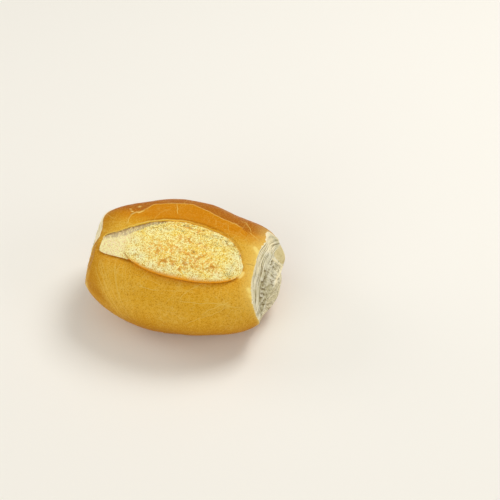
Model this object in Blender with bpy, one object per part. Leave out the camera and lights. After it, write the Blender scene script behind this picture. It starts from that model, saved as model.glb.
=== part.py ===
"""French bread roll, baked side by side with others and torn off at both ends.

One closed body in metres, +Z up. It rests on a small flat base, its long axis runs along X,
and the opened slash looks up and towards -Y. The origin is at the middle of the base.

The body starts as a UV sphere whose pole is the middle of the slash, so that its rings run
round the slash. Each ring is then carried to its place on the lozenge of the roll.
"""

import math

import bmesh
import bpy
from mathutils import Matrix, Vector, noise

NAME = "bread_roll"
MM = 0.001

# The whole lozenge, before its ends are torn off
HALF_LENGTH = 0.0643
HALF_WIDTH = 0.0438
RISE = 0.0344            # from the widest level up to the crown
DROP = 0.0330            # from the widest level down to the untrimmed underside
WAIST = 0.0293           # height of the widest level over the base
LENGTH_POWER = 2.15      # fullness of the outline seen from above
SECTION_POWER = 2.25     # fullness of the cross-section
BASE_ROUNDING = 0.0010   # height over which the flat base turns up into the side

# Unevenness, as a share of the size at the ends, the sides or the crown
LEAN_TO_BACK = 0.024     # both ends sit a little further back
ARCHED_ENDS = 0.021      # both ends ride a little high
BLUNT_LEFT = -0.024      # the left end is the longer one
WIDE_RIGHT = 0.034       # the right half is the wider one
TALL_LEFT = -0.100       # the left half is the taller one

# Swells and dents of the dough: X, Y and Z of their middles from the core, and heights, in mm
DOUGH_SWELLS = (
    (-52.0, 18.0, 19.0, 1.6),     # corner of the left shoulder
    (-24.0, 31.0, 24.0, 0.5),
    (-10.0, 34.0, 24.0, 1.6),     # fullest place of the back
    (8.0, 35.0, 23.0, 1.1),
    (28.0, 34.0, 19.0, -1.3),     # flatter place behind the right end of the slash
    (45.0, 29.0, 14.0, 1.3),
    (23.0, -35.0, -17.0, -1.7),   # drawn in where the front meets the base
    (3.0, -38.0, -19.0, -1.1),
    (-54.0, -18.0, -5.0, 1.4),    # corner of the left end's front
)
SWELL_REACH_MM = 13.0

# The slash: its middle as a turn from the crown, and its reach from there as angles
SLASH_TILT = math.radians(24.0)      # towards -Y
REACH_RIGHT = math.radians(52.4)
REACH_LEFT = math.radians(61.0)
REACH_BACK = math.radians(35.3)
REACH_FRONT = math.radians(24.8)
TAPER_RIGHT = 0.18                   # 0 rounds a tip as an ellipse does, more points it
TAPER_LEFT = 0.12
WIDER_RIGHT = 0.213                  # share by which the opening widens to the right
# Waves of the slash's outline: waves in a turn, and their cosine and sine shares of the reach
RIPPLES = ((2, 0.008, -0.010), (4, 0.014, 0.019), (5, -0.018, -0.019), (6, -0.007, 0.006))
# Where the left end of the slash is blunter: turn round the middle, half-width and share
SHOULDER = (2.867, 0.144, 0.062)

# Heights over the lozenge, at the edge of the slash and inside it
CRUMB_SINK_BACK = 0.0030      # the crumb starts below the back lip
CRUMB_RISE_FRONT = 0.0015     # and stands over the front lip
CRUMB_DOME = 0.0024
CRUMB_LUMPS = 0.0007
LUMP_SIZE = 0.011
LIP_RISE = 0.0012             # the crust's raised back lip
CREASE_SINK = 0.0009          # the fold under the crumb's front edge
LIP_REACH = 0.35              # how far the lip's swell runs out, in slash reaches

# The torn ends: the rim's plane leans in towards the top, and the crumb bulges out of it
RIGHT_RIM = 0.0503
RIGHT_LEAN = 0.24
RIGHT_BULGE = 0.0062
LEFT_RIM = -0.0562
LEFT_LEAN = 0.20
LEFT_BULGE = 0.0045
TORN_HALF_WIDTH = 0.0290
TORN_HALF_HEIGHT = 0.0215
TORN_ROUGHNESS = 0.0009
TEAR_SIZE = 0.006
# Where a torn face stands proud of its plane or lies back: Y, Z, reach and height in mm
RIGHT_SWELLS = (
    (24.0, 30.0, 7.5, 4.3),       # a flap of crumb at the back
    (-14.0, 17.0, 11.0, -7.1),    # the low front corner came away deeper
    (12.0, 50.0, 8.0, 2.0),       # crumb left standing at the top
    (28.0, 42.0, 7.0, 3.5),
    (-21.0, 46.0, 8.0, -0.8),
    (20.0, 17.0, 6.0, -1.9),
)
LEFT_SWELLS = (
    (13.0, 50.0, 8.0, 3.4),       # crust and crumb left standing at the top
    (3.0, 48.0, 7.0, 1.4),
    (-5.0, 41.0, 6.0, 0.7),
    (14.0, 22.0, 8.0, -1.6),
)

# Mesh
SEGMENTS = 88
RINGS = 52
SLASH_RINGS = 20          # rings from the middle of the slash out to its edge
LIP_STEP = math.radians(1.1)
RING_CROWDING = 1.25      # over 1 crowds the crust's rings towards the slash

CRUST_COLOUR = (0.56, 0.30, 0.06, 1.0)
CRUST_ROUGHNESS = 0.45
SHARP_EDGE = math.radians(38.0)


def clear_scene():
    for old in list(bpy.data.objects):
        bpy.data.objects.remove(old, do_unlink=True)


def make_collection(name):
    collection = bpy.data.collections.new(name)
    bpy.context.scene.collection.children.link(collection)
    return collection


def crust_material():
    material = bpy.data.materials.new("baked_crust")
    material.use_nodes = True
    shader = material.node_tree.nodes["Principled BSDF"]
    shader.inputs["Base Color"].default_value = CRUST_COLOUR
    shader.inputs["Roughness"].default_value = CRUST_ROUGHNESS
    shader.inputs["Metallic"].default_value = 0.0
    return material


def slash_axes():
    """Middle of the slash as a direction, and the directions along and across it there."""
    middle = Vector((0.0, -math.sin(SLASH_TILT), math.cos(SLASH_TILT)))
    along = Vector((1.0, 0.0, 0.0))
    return middle, along, middle.cross(along)


def mixed(low, high, position):
    """Value between two ends, at a position from -1 to 1."""
    return low + (high - low) * (1.0 + position) / 2.0


def slash_edge(turn):
    """Reach of the slash's edge from its middle and heading there, at a turn round it."""
    right = math.cos(turn)
    back = math.sin(turn)
    along = mixed(REACH_LEFT, REACH_RIGHT, right) * right
    across = mixed(REACH_FRONT, REACH_BACK, back) * (1.0 + WIDER_RIGHT * right)
    taper = mixed(TAPER_LEFT, TAPER_RIGHT, right)
    across *= math.copysign(abs(back) ** (1.0 + taper), back)
    shoulder, half_width, share = SHOULDER
    from_shoulder = math.remainder(turn - shoulder, 2.0 * math.pi) / half_width
    wave = 1.0 + share * math.exp(-from_shoulder ** 2)
    for count, even, odd in RIPPLES:
        wave += even * math.cos(count * turn) + odd * math.sin(count * turn)
    return math.hypot(along, across) * wave, math.atan2(across, along)


def lozenge_point(direction, lift):
    """Point of the whole lozenge in a direction from its core, lifted outwards."""
    depth = RISE if direction.z > 0.0 else DROP
    across = (abs(direction.y) / HALF_WIDTH) ** SECTION_POWER
    across += (abs(direction.z) / depth) ** SECTION_POWER
    along = (abs(direction.x) / HALF_LENGTH) ** LENGTH_POWER
    reach = (along + across ** (LENGTH_POWER / SECTION_POWER)) ** (-1.0 / LENGTH_POWER)
    x = direction.x * reach / HALF_LENGTH
    y = direction.y * reach / HALF_WIDTH
    z = direction.z * reach / RISE
    swell = 1.0 + LEAN_TO_BACK * x * x * y + ARCHED_ENDS * x * x * z
    swell += BLUNT_LEFT * x ** 3 + WIDE_RIGHT * x * y * y + TALL_LEFT * x * z * z
    body = direction * (reach * swell)
    for *middle, height in DOUGH_SWELLS:
        gap = (body / MM - Vector(middle)).length / SWELL_REACH_MM
        lift += height * MM * math.exp(-gap ** 2)
    return body + direction * lift + Vector((0.0, 0.0, WAIST))


def crumb_lift(share, back, point):
    """Height of the crumb over the lozenge, at a share of the way from middle to edge."""
    edge = CRUMB_RISE_FRONT * max(0.0, -back) - CRUMB_SINK_BACK * max(0.0, back)
    near_edge = share ** 5
    lumps = CRUMB_LUMPS * noise.fractal(point / LUMP_SIZE, 0.8, 2.1, 3) * (1.0 - near_edge)
    return edge * near_edge + CRUMB_DOME * (1.0 - share * share) + lumps


def crust_lift(beyond, back):
    """Height of the crust over the lozenge, at a share of the reach beyond the slash."""
    fade = max(0.0, 1.0 - beyond / LIP_REACH) ** 2
    return fade * (LIP_RISE * max(0.0, back) - CREASE_SINK * max(0.0, -back))


def settle_on_base(point):
    """Press the underside flat, with a rounding where it turns up into the side."""
    if point.z < -BASE_ROUNDING:
        point.z = 0.0
    elif point.z < BASE_ROUNDING:
        point.z = (point.z + BASE_ROUNDING) ** 2 / (4.0 * BASE_ROUNDING)
    return point


def torn_face(point, rim, lean, bulge, swells):
    """Distance of a torn end's crumb from the middle of the roll, at a point's Y and Z."""
    off_centre = (point.y / TORN_HALF_WIDTH) ** 2 + ((point.z - WAIST) / TORN_HALF_HEIGHT) ** 2
    rough = TORN_ROUGHNESS * noise.fractal(point / TEAR_SIZE, 0.7, 2.0, 3)
    inner = max(0.0, 1.0 - off_centre)
    distance = abs(rim) - lean * (point.z - WAIST) + bulge * inner + rough * min(1.0, 3.0 * inner)
    for y, z, reach, height in swells:
        gap = math.hypot(point.y / MM - y, point.z / MM - z) / reach
        distance += height * MM * math.exp(-gap ** 2)
    return distance


def tear_ends(point):
    at_right = Vector((RIGHT_RIM, point.y, point.z))
    at_left = Vector((LEFT_RIM, point.y, point.z))
    right = torn_face(at_right, RIGHT_RIM, RIGHT_LEAN, RIGHT_BULGE, RIGHT_SWELLS)
    left = torn_face(at_left, LEFT_RIM, LEFT_LEAN, LEFT_BULGE, LEFT_SWELLS)
    point.x = min(max(point.x, -left), right)
    return point


def carried_point(ring, turn, axes):
    """Place on the roll of a sphere's point, given its ring and its turn round the pole."""
    middle, along, across = axes
    edge, heading = slash_edge(turn)
    back = math.sin(turn)
    if ring <= SLASH_RINGS:
        share = math.sin(0.5 * math.pi * ring / SLASH_RINGS)
        angle = edge * share
        heading = turn + (heading - turn) * share ** 3
    else:
        share = (ring - SLASH_RINGS - 1.0) / (RINGS - SLASH_RINGS - 1.0)
        angle = edge + LIP_STEP + (math.pi - edge - LIP_STEP) * share ** RING_CROWDING
        heading += (turn - heading) * share
    sideways = along * math.cos(heading) + across * math.sin(heading)
    direction = middle * math.cos(angle) + sideways * math.sin(angle)
    if ring <= SLASH_RINGS:
        lift = crumb_lift(share, back, lozenge_point(direction, 0.0))
    else:
        lift = crust_lift(angle / edge - 1.0, back)
    return tear_ends(settle_on_base(lozenge_point(direction, lift)))


def make_roll(collection):
    mesh = bpy.data.meshes.new(NAME)
    shape = bmesh.new()
    bmesh.ops.create_uvsphere(shape, u_segments=SEGMENTS, v_segments=RINGS, radius=1.0)
    axes = slash_axes()
    for vertex in shape.verts:
        ring = round(math.acos(max(-1.0, min(1.0, vertex.co.z))) / math.pi * RINGS)
        turn = math.atan2(vertex.co.y, vertex.co.x)
        vertex.co = carried_point(ring, turn, axes)
    bmesh.ops.triangulate(shape, faces=shape.faces)
    bmesh.ops.dissolve_degenerate(shape, dist=0.00002, edges=shape.edges)
    bmesh.ops.recalc_face_normals(shape, faces=shape.faces)
    low = Vector([min(vertex.co[i] for vertex in shape.verts) for i in range(3)])
    high = Vector([max(vertex.co[i] for vertex in shape.verts) for i in range(3)])
    centre = (low + high) / 2.0
    bmesh.ops.transform(
        shape, verts=shape.verts, matrix=Matrix.Translation((-centre.x, -centre.y, -low.z)))
    shape.to_mesh(mesh)
    shape.free()
    mesh.shade_smooth()
    mesh.set_sharp_from_angle(angle=SHARP_EDGE)
    mesh.materials.append(crust_material())
    roll = bpy.data.objects.new(NAME, mesh)
    collection.objects.link(roll)
    return roll


clear_scene()
make_roll(make_collection("french_bread_roll"))
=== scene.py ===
"""French bread roll: the visible surfaces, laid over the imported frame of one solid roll.

A plump roll that was baked side by side with others. Its crust is thin, golden and finely
cracked. The slash along its top has opened, and pale crumb swells out of it over the front lip.
Both ends are torn faces of fibrous crumb. Every piece is modelled in place, in metres, +Z up.
"""

import math
from itertools import product

import bpy
import numpy as np
from bpy.props import FloatProperty, IntProperty, PointerProperty, StringProperty
from mathutils.kdtree import KDTree
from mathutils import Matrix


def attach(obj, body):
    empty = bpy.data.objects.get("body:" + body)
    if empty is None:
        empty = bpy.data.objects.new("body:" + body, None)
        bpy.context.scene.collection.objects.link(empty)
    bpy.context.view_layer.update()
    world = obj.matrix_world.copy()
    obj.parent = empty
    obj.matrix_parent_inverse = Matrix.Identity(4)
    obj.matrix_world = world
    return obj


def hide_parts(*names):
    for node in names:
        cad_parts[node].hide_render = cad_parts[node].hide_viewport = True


bl_info = {
    "name": "French Bread Roll",
    "version": (1, 0, 0),
    "blender": (4, 5, 0),
    "location": "View3D > Sidebar > Bread Roll",
    "description": "Models a crusty roll with an opened slash and torn ends over its packed frame",
    "category": "Add Mesh",
}

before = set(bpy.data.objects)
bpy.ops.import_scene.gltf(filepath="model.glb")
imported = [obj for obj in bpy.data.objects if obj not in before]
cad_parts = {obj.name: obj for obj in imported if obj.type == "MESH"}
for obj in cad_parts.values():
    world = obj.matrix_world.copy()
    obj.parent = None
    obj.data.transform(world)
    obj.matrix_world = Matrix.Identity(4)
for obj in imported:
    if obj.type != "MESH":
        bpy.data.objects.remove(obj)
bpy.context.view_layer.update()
NODE = "bread_roll"
BODY = "root"
MM = 0.001

# The lozenge of the roll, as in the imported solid
CORE = np.array((0.00240, -0.00008, 0.0293))    # the middle of its widest level
HALF_LENGTH = 0.0643
HALF_WIDTH = 0.0438
RISE = 0.0344
DROP = 0.0330
LENGTH_POWER = 2.15
SECTION_POWER = 2.25
BASE_ROUNDING = 0.0010
LEAN_TO_BACK = 0.024
ARCHED_ENDS = 0.021
BLUNT_LEFT = -0.024
WIDE_RIGHT = 0.034
TALL_LEFT = -0.100
# Swells and dents of the dough: X, Y and Z of their middles from the core, and heights, in mm
DOUGH_SWELLS = (
    (-52.0, 18.0, 19.0, 1.6), (-24.0, 31.0, 24.0, 0.5), (-10.0, 34.0, 24.0, 1.6),
    (8.0, 35.0, 23.0, 1.1), (28.0, 34.0, 19.0, -1.3), (45.0, 29.0, 14.0, 1.3),
    (23.0, -35.0, -17.0, -1.7), (3.0, -38.0, -19.0, -1.1), (-54.0, -18.0, -5.0, 1.4),
    (-48.0, -28.0, -17.0, 0.4), (44.0, -28.0, -14.0, 0.4),
)
SWELL_REACH_MM = 13.0

# The slash, as angles seen from the core
SLASH_TILT = math.radians(24.0)
REACH_RIGHT = math.radians(52.4)
REACH_LEFT = math.radians(61.0)
REACH_BACK = math.radians(35.3)
REACH_FRONT = math.radians(24.8)
TAPER_RIGHT = 0.18
TAPER_LEFT = 0.12
WIDER_RIGHT = 0.213
# Waves of the slash's outline: waves in a turn, and their cosine and sine shares of the reach
RIPPLES = ((2, 0.008, -0.010), (3, 0.005, -0.004), (4, 0.014, 0.019), (5, -0.018, -0.019),
           (6, -0.007, 0.006), (7, 0.004, -0.005), (8, -0.007, 0.000))
# Where the left end of the slash is blunter: turns round the middle, half-widths and shares
SHOULDERS = ((2.867, 0.144, 0.062), (3.27, 0.20, -0.045))
SLASH_MIDDLE = np.array((0.0, -math.sin(SLASH_TILT), math.cos(SLASH_TILT)))
SLASH_ALONG = np.array((1.0, 0.0, 0.0))
SLASH_ACROSS = np.cross(SLASH_MIDDLE, SLASH_ALONG)
CHART_MM = 0.038 / MM        # a radian of the slash's chart, in millimetres, near its middle

# The torn ends: where the rim's plane stands at the widest level, and its lean
RIGHT_RIM = 0.0503
RIGHT_LEAN = 0.24
RIGHT_BULGE = 0.0062
LEFT_RIM = 0.0562
LEFT_LEAN = 0.20
LEFT_BULGE = 0.0045
TORN_HALF_WIDTH = 0.0290
TORN_HALF_HEIGHT = 0.0215


class BreadSizes(bpy.types.PropertyGroup):
    """Fineness and relief of the roll's surfaces."""

    crust_turns: IntProperty(name="Crust turns", default=400, min=64, max=440,
                             description="Faces round the slash on the crust")
    crust_rings: IntProperty(name="Crust rings", default=236, min=60, max=240,
                             description="Rings of the crust, from the slash to the underside")
    crumb_columns: IntProperty(name="Slash crumb columns", default=430, min=60, max=450,
                               description="Faces along the slash crumb")
    crumb_rows: IntProperty(name="Slash crumb rows", default=220, min=40, max=222,
                            description="Faces across the slash crumb")
    torn_grid: IntProperty(name="Torn face grid", default=300, min=40, max=314,
                           description="Faces along each side of a torn face's grid")
    grain_depth: FloatProperty(name="Crumb grain", default=0.00022, unit="LENGTH",
                               description="Relief of the slash crumb's grain")
    fibre_depth: FloatProperty(name="Fibre relief", default=0.0005, unit="LENGTH",
                               description="Relief of the torn faces' fibres")


def hex_colour(name, default, description):
    """A colour that can be changed in the sidebar, as an sRGB hex value."""
    return StringProperty(name=name, default=default, description=description)


class BreadColours(bpy.types.PropertyGroup):
    """Colours of the roll's surfaces, as sRGB hex values."""

    crust: hex_colour("Crust", "#DFA628", "Golden side of the crust")
    crust_light: hex_colour("Light crust", "#E2B347", "Lighter places of the crust")
    # The deep colour is real browning on the crown, and painted shade under the crumb's front edge and
    # at the low right corner by the floor.
    crust_deep: hex_colour("Deep crust", "#DF8D03", "Browner crust on the crown and round the slash")
    # The dull colour paints shade low down and at the left end; it also gives the crust's random dull
    # flecks and grain.
    crust_dull_and_shade: hex_colour("Dull crust", "#B5760A", "Crust low down and at the left end")
    crust_rust: hex_colour("Rusty crust", "#AE5E08", "Crust on the far side of the crown")
    # Painted shade: the seam colour is a dark line where the back lip and the crumb's front edge shade
    # the crust.
    crust_seam: hex_colour("Seam", "#995C08", "Crust right beside the slash")
    crack: hex_colour("Cracks", "#EBC865", "Fine cracks of the crust")
    # The halo colour also paints a highlight along the back lip and, in part, along the left hem.
    halo: hex_colour("Halo", "#F9DC7C", "Pale crust and crumb beside the tears")
    crumb: hex_colour("Crumb", "#FFDA52", "Slash crumb")
    # The pale crumb colour also paints light on the raised crumbs of the grain.
    crumb_pale_and_lit: hex_colour("Pale crumb", "#FFFAB2", "Raised crumbs of the slash crumb")
    crumb_white: hex_colour("White crumb", "#FFF9C4", "Whitest places of the slash crumb")
    # Painted shade: the crumb shade colour darkens the low places between the crumbs, besides random
    # specks.
    crumb_shade: hex_colour("Crumb shade", "#D3A334", "Specks between the crumbs")
    crumb_wing: hex_colour("Crumb wing", "#FDE9AC", "Smooth crumb at the left end of the slash")
    wing_pink: hex_colour("Pink crumb wing", "#FDE3B8", "Pinker places of the smooth crumb")
    crumb_rim: hex_colour("Crumb edge", "#E9960C", "Toasted edge of the slash crumb")
    toast: hex_colour("Toast", "#F2AE48", "Toasted spots of the crumb")
    # The scorch colour also paints the shade in the crease at the left end of the cushion's edge.
    scorch: hex_colour("Scorch", "#C8822F", "Brownest crumbs")
    hollow: hex_colour("Hollow", "#C9B48E", "Shaded crumb under the lip")
    # Painted shade: the holes colour darkens the crumb's pits, splits and grooves, and the crumb under
    # the back lip.
    holes: hex_colour("Holes", "#8D7440", "Little holes of the crumb")
    torn: hex_colour("Torn crumb", "#D3CAA0", "Torn faces")
    # The pale torn colour also paints highlights: glints, and light on the strands' crests.
    torn_pale_and_lit: hex_colour("Pale torn crumb", "#F2ECD4", "Crests of the torn crumb")
    # Painted shade: the dark torn colour darkens the grooves and holes and a broad band beside the
    # strands, besides random dark pores.
    torn_dark_and_shade: hex_colour("Dark torn crumb", "#84744A", "Grooves and pores of the torn crumb")
    # The creamy torn colour also paints light on the left tear's sliver by the rim.
    torn_cream: hex_colour(
        "Creamy torn crumb", "#FFF0C4", "Torn crumb next to the crust, and its crests")
    torn_skin: hex_colour("Torn skin", "#DAC78C", "Smooth skin on the right tear")


# ---------------------------------------------------------------- form of the roll

def mixed(low, high, position):
    """Value between two ends, at a position from -1 to 1."""
    return low + (high - low) * (1.0 + position) / 2.0


def smooth_step(low, high, value):
    """0 below low, 1 above high, and a smooth rise between them."""
    share = np.clip((value - low) / (high - low), 0.0, 1.0)
    return share * share * (3.0 - 2.0 * share)


def slash_edge(turn):
    """The slash's edge in its chart: angles along and across it, at a turn round its middle."""
    right = np.cos(turn)
    back = np.sin(turn)
    along = mixed(REACH_LEFT, REACH_RIGHT, right) * right
    across = mixed(REACH_FRONT, REACH_BACK, back) * (1.0 + WIDER_RIGHT * right)
    across = across * np.sign(back) * np.abs(back) ** (1.0 + mixed(TAPER_LEFT, TAPER_RIGHT, right))
    wave = 1.0
    for shoulder, half_width, share in SHOULDERS:
        from_shoulder = (turn - shoulder + np.pi) % (2.0 * np.pi) - np.pi
        wave = wave + share * np.exp(-(from_shoulder / half_width) ** 2)
    for count, even, odd in RIPPLES:
        wave = wave + even * np.cos(count * turn) + odd * np.sin(count * turn)
    return along * wave, across * wave


def slash_span(position):
    """Place along the slash at -1 (left tip) to 1 (right tip), and its front and back there."""
    turn = np.linspace(-0.5, 1.5, 2881) * np.pi
    along, across = slash_edge(turn)
    right, left = along.argmax(), along.argmin()
    place = mixed(along[left], along[right], position)
    back = np.interp(place, along[left:right:-1], across[left:right:-1])
    front_along = np.concatenate((along[left:], along[:right]))
    front_across = np.concatenate((across[left:], across[:right]))
    return place, np.interp(place, front_along, front_across), back


def chart_direction(along, across):
    """Unit directions from the core, at angles along and across the slash from its middle."""
    angle = np.hypot(along, across)
    scale = np.sinc(angle / np.pi)
    sideways = np.outer(along * scale, SLASH_ALONG) + np.outer(across * scale, SLASH_ACROSS)
    return np.outer(np.cos(angle), SLASH_MIDDLE) + sideways


def lozenge(direction, lift):
    """Points of the whole lozenge in directions from its core, lifted outwards."""
    depth = np.where(direction[:, 2] > 0.0, RISE, DROP)
    across = np.abs(direction[:, 1] / HALF_WIDTH) ** SECTION_POWER
    across += np.abs(direction[:, 2] / depth) ** SECTION_POWER
    along = np.abs(direction[:, 0] / HALF_LENGTH) ** LENGTH_POWER
    reach = (along + across ** (LENGTH_POWER / SECTION_POWER)) ** (-1.0 / LENGTH_POWER)
    x, y, z = (direction * reach[:, None] / (HALF_LENGTH, HALF_WIDTH, RISE)).T
    swell = 1.0 + LEAN_TO_BACK * x * x * y + ARCHED_ENDS * x * x * z
    swell += BLUNT_LEFT * x ** 3 + WIDE_RIGHT * x * y * y + TALL_LEFT * x * z * z
    body = direction * (reach * swell)[:, None]
    for *middle, height in DOUGH_SWELLS:
        gap = np.linalg.norm(body / MM - middle, axis=1) / SWELL_REACH_MM
        lift = lift + height * MM * np.exp(-gap ** 2)
    return body + direction * lift[:, None] + CORE


def settled(points):
    """Points with the underside pressed flat on the surface that the roll rests on."""
    z = points[:, 2]
    rounded = (np.clip(z, -BASE_ROUNDING, BASE_ROUNDING) + BASE_ROUNDING) ** 2
    points[:, 2] = np.where(z < BASE_ROUNDING, rounded / (4.0 * BASE_ROUNDING), z)
    return points


# Where a torn face stands proud of its plane or lies back: Y, Z, reach and height in mm
RIGHT_SWELLS = (
    (24.0, 30.0, 7.5, 4.3),      # a flap of crumb at the back
    (-14.0, 17.0, 11.0, -7.1),   # the low front corner came away deeper
    (12.0, 50.0, 8.0, 2.0),      # crumb left standing at the top
    (28.0, 42.0, 7.0, 3.5),
    (-21.0, 46.0, 8.0, -0.8),
    (20.0, 17.0, 6.0, -1.9),
)
LEFT_SWELLS = (
    (13.0, 50.0, 8.0, 3.4),      # crust and crumb left standing at the top
    (3.0, 48.0, 7.0, 1.4),
    (-5.0, 41.0, 6.0, 0.7),
    (14.0, 22.0, 8.0, -1.6),
)


def torn_face(points, side):
    """Distance along X, from the core, of a torn end's surface at the points' Y and Z."""
    right = side > 0
    rim, lean = (RIGHT_RIM, RIGHT_LEAN) if right else (LEFT_RIM, LEFT_LEAN)
    y, z = points[:, 1], points[:, 2]
    off_y = (y - CORE[1]) / TORN_HALF_WIDTH
    off_z = (z - CORE[2]) / TORN_HALF_HEIGHT
    bulge = (RIGHT_BULGE if right else LEFT_BULGE) * np.maximum(0.0, 1.0 - off_y ** 2 - off_z ** 2)
    distance = rim - lean * (z - CORE[2]) + bulge
    for middle_y, middle_z, reach, height in RIGHT_SWELLS if right else LEFT_SWELLS:
        gap = np.hypot(y / MM - middle_y, z / MM - middle_z) / reach
        distance = distance + height * MM * np.exp(-gap ** 2)
    return distance


# ---------------------------------------------------------------- unevenness of dough

RAMP_COUNT = 256              # directions that noise draws from
SEED_COUNT = 4096             # places in a cell that cell noise draws from
CELL_SHIFT = 57.0             # keeps all cells' numbers above zero
NOISE_GAIN = 1.6              # brings noise to about -1 to 1


def wave_noise(points, size, seed):
    """Smooth noise, about -1 to 1, at points in metres, with bumps of a size in metres."""
    rng = np.random.default_rng(seed)
    ramps = rng.normal(size=(RAMP_COUNT, 3))
    ramps /= np.linalg.norm(ramps, axis=1)[:, None]
    order = rng.permutation(RAMP_COUNT)
    place = points / size + CELL_SHIFT
    cell = np.floor(place).astype(int)
    inside = place - cell
    fade = inside ** 3 * (inside * (inside * 6.0 - 15.0) + 10.0)
    total = np.zeros(len(points))
    for corner in product((0, 1), repeat=3):
        key = (cell + corner) % RAMP_COUNT
        ramp = order[(order[key[:, 0]] + key[:, 1]) % RAMP_COUNT]
        ramp = order[(ramp + key[:, 2]) % RAMP_COUNT]
        weight = np.prod(np.where(np.array(corner) > 0, fade, 1.0 - fade), axis=1)
        total += weight * np.einsum("ij,ij->i", ramps[ramp], inside - corner)
    return total * NOISE_GAIN


def chart_place(u, v):
    """Points in metres, for drawn-out noise, from places in mm along and across."""
    return np.stack((u, v, 0.0 * v), axis=1) * MM


def layered_noise(points, size, seed, layers=4, roughness=0.5):
    """Sum of noises, each half as coarse as the one before and weaker."""
    total = np.zeros(len(points))
    weight = 1.0
    for layer in range(layers):
        total += weight * wave_noise(points, size / 2.0 ** layer, seed + layer)
        weight *= roughness
    return total


def cell_noise(points, size, seed):
    """Distances, in cells, from points to the nearest of scattered seeds."""
    rng = np.random.default_rng(seed)
    offsets = rng.random((SEED_COUNT, 3))
    place = points / size + CELL_SHIFT
    cell = np.floor(place).astype(int)
    nearest = np.full(len(points), 9.0)
    for corner in product((-1, 0, 1), repeat=3):
        key = cell + corner
        seed_of = (key @ (73, 179, 283)) % SEED_COUNT
        distance = np.linalg.norm(key + offsets[seed_of] - place, axis=1)
        nearest = np.minimum(nearest, distance)
    return nearest


# ---------------------------------------------------------------- meshes

def deselect_all():
    """Leave edit mode and select nothing."""
    if bpy.context.mode != "OBJECT":
        bpy.ops.object.mode_set(mode="OBJECT")
    bpy.ops.object.select_all(action="DESELECT")


def select_only(piece):
    """Select one piece and make it the active one."""
    deselect_all()
    piece.select_set(True)
    bpy.context.view_layer.objects.active = piece


def read_points(piece):
    """A mesh's points, as rows of X, Y and Z."""
    points = np.empty(len(piece.data.vertices) * 3)
    piece.data.vertices.foreach_get("co", points)
    return points.reshape(-1, 3)


def write_points(piece, points):
    """Move a mesh's points to new places."""
    piece.data.vertices.foreach_set("co", points.astype(np.float32).ravel())
    piece.data.update()


def store(piece, **masks):
    """Keep values for each point, which the piece's material reads by their names."""
    for name, values in masks.items():
        attribute = piece.data.attributes.new(name, "FLOAT", "POINT")
        attribute.data.foreach_set("value", np.asarray(values, dtype=np.float32))


def finish_piece(piece, name, material):
    """Name a piece, shade it smooth, give it its finish and let it stand for the roll."""
    piece.name = name
    piece.data.name = name
    piece.data.materials.clear()
    piece.data.materials.append(material)
    select_only(piece)
    bpy.ops.object.shade_smooth()
    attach(piece, BODY)
    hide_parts(NODE)


def face_outwards(piece):
    """Turn all faces of a closed piece outwards."""
    select_only(piece)
    bpy.ops.object.mode_set(mode="EDIT")
    bpy.ops.mesh.select_all(action="SELECT")
    bpy.ops.mesh.normals_make_consistent(inside=False)
    bpy.ops.object.mode_set(mode="OBJECT")


# The crust's section at the slash, from under the crumb out to the open crust: millimetres
# outwards from the slash's edge, and millimetres over the lozenge, at the back and at the front
BACK_SECTION = ((-4.0, -6.0), (-1.2, -5.2), (0.9, -4.2), (1.3, -3.0), (1.0, -1.8), (0.5, -0.8),
                (0.05, -0.1), (-0.2, 0.45), (-0.1, 0.85), (0.25, 1.1), (0.8, 1.25), (1.6, 1.3))
FRONT_SECTION = ((-5.5, -6.0), (-4.4, -4.6), (-3.5, -3.6), (-2.7, -2.8), (-2.0, -2.2), (-1.4, -1.75),
                 (-0.9, -1.45), (-0.45, -1.2), (0.0, -1.0), (0.5, -0.82), (1.1, -0.62), (1.8, -0.45))
FLOOR_RINGS = 4
LIP_FADE_MM = 13.0


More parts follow.
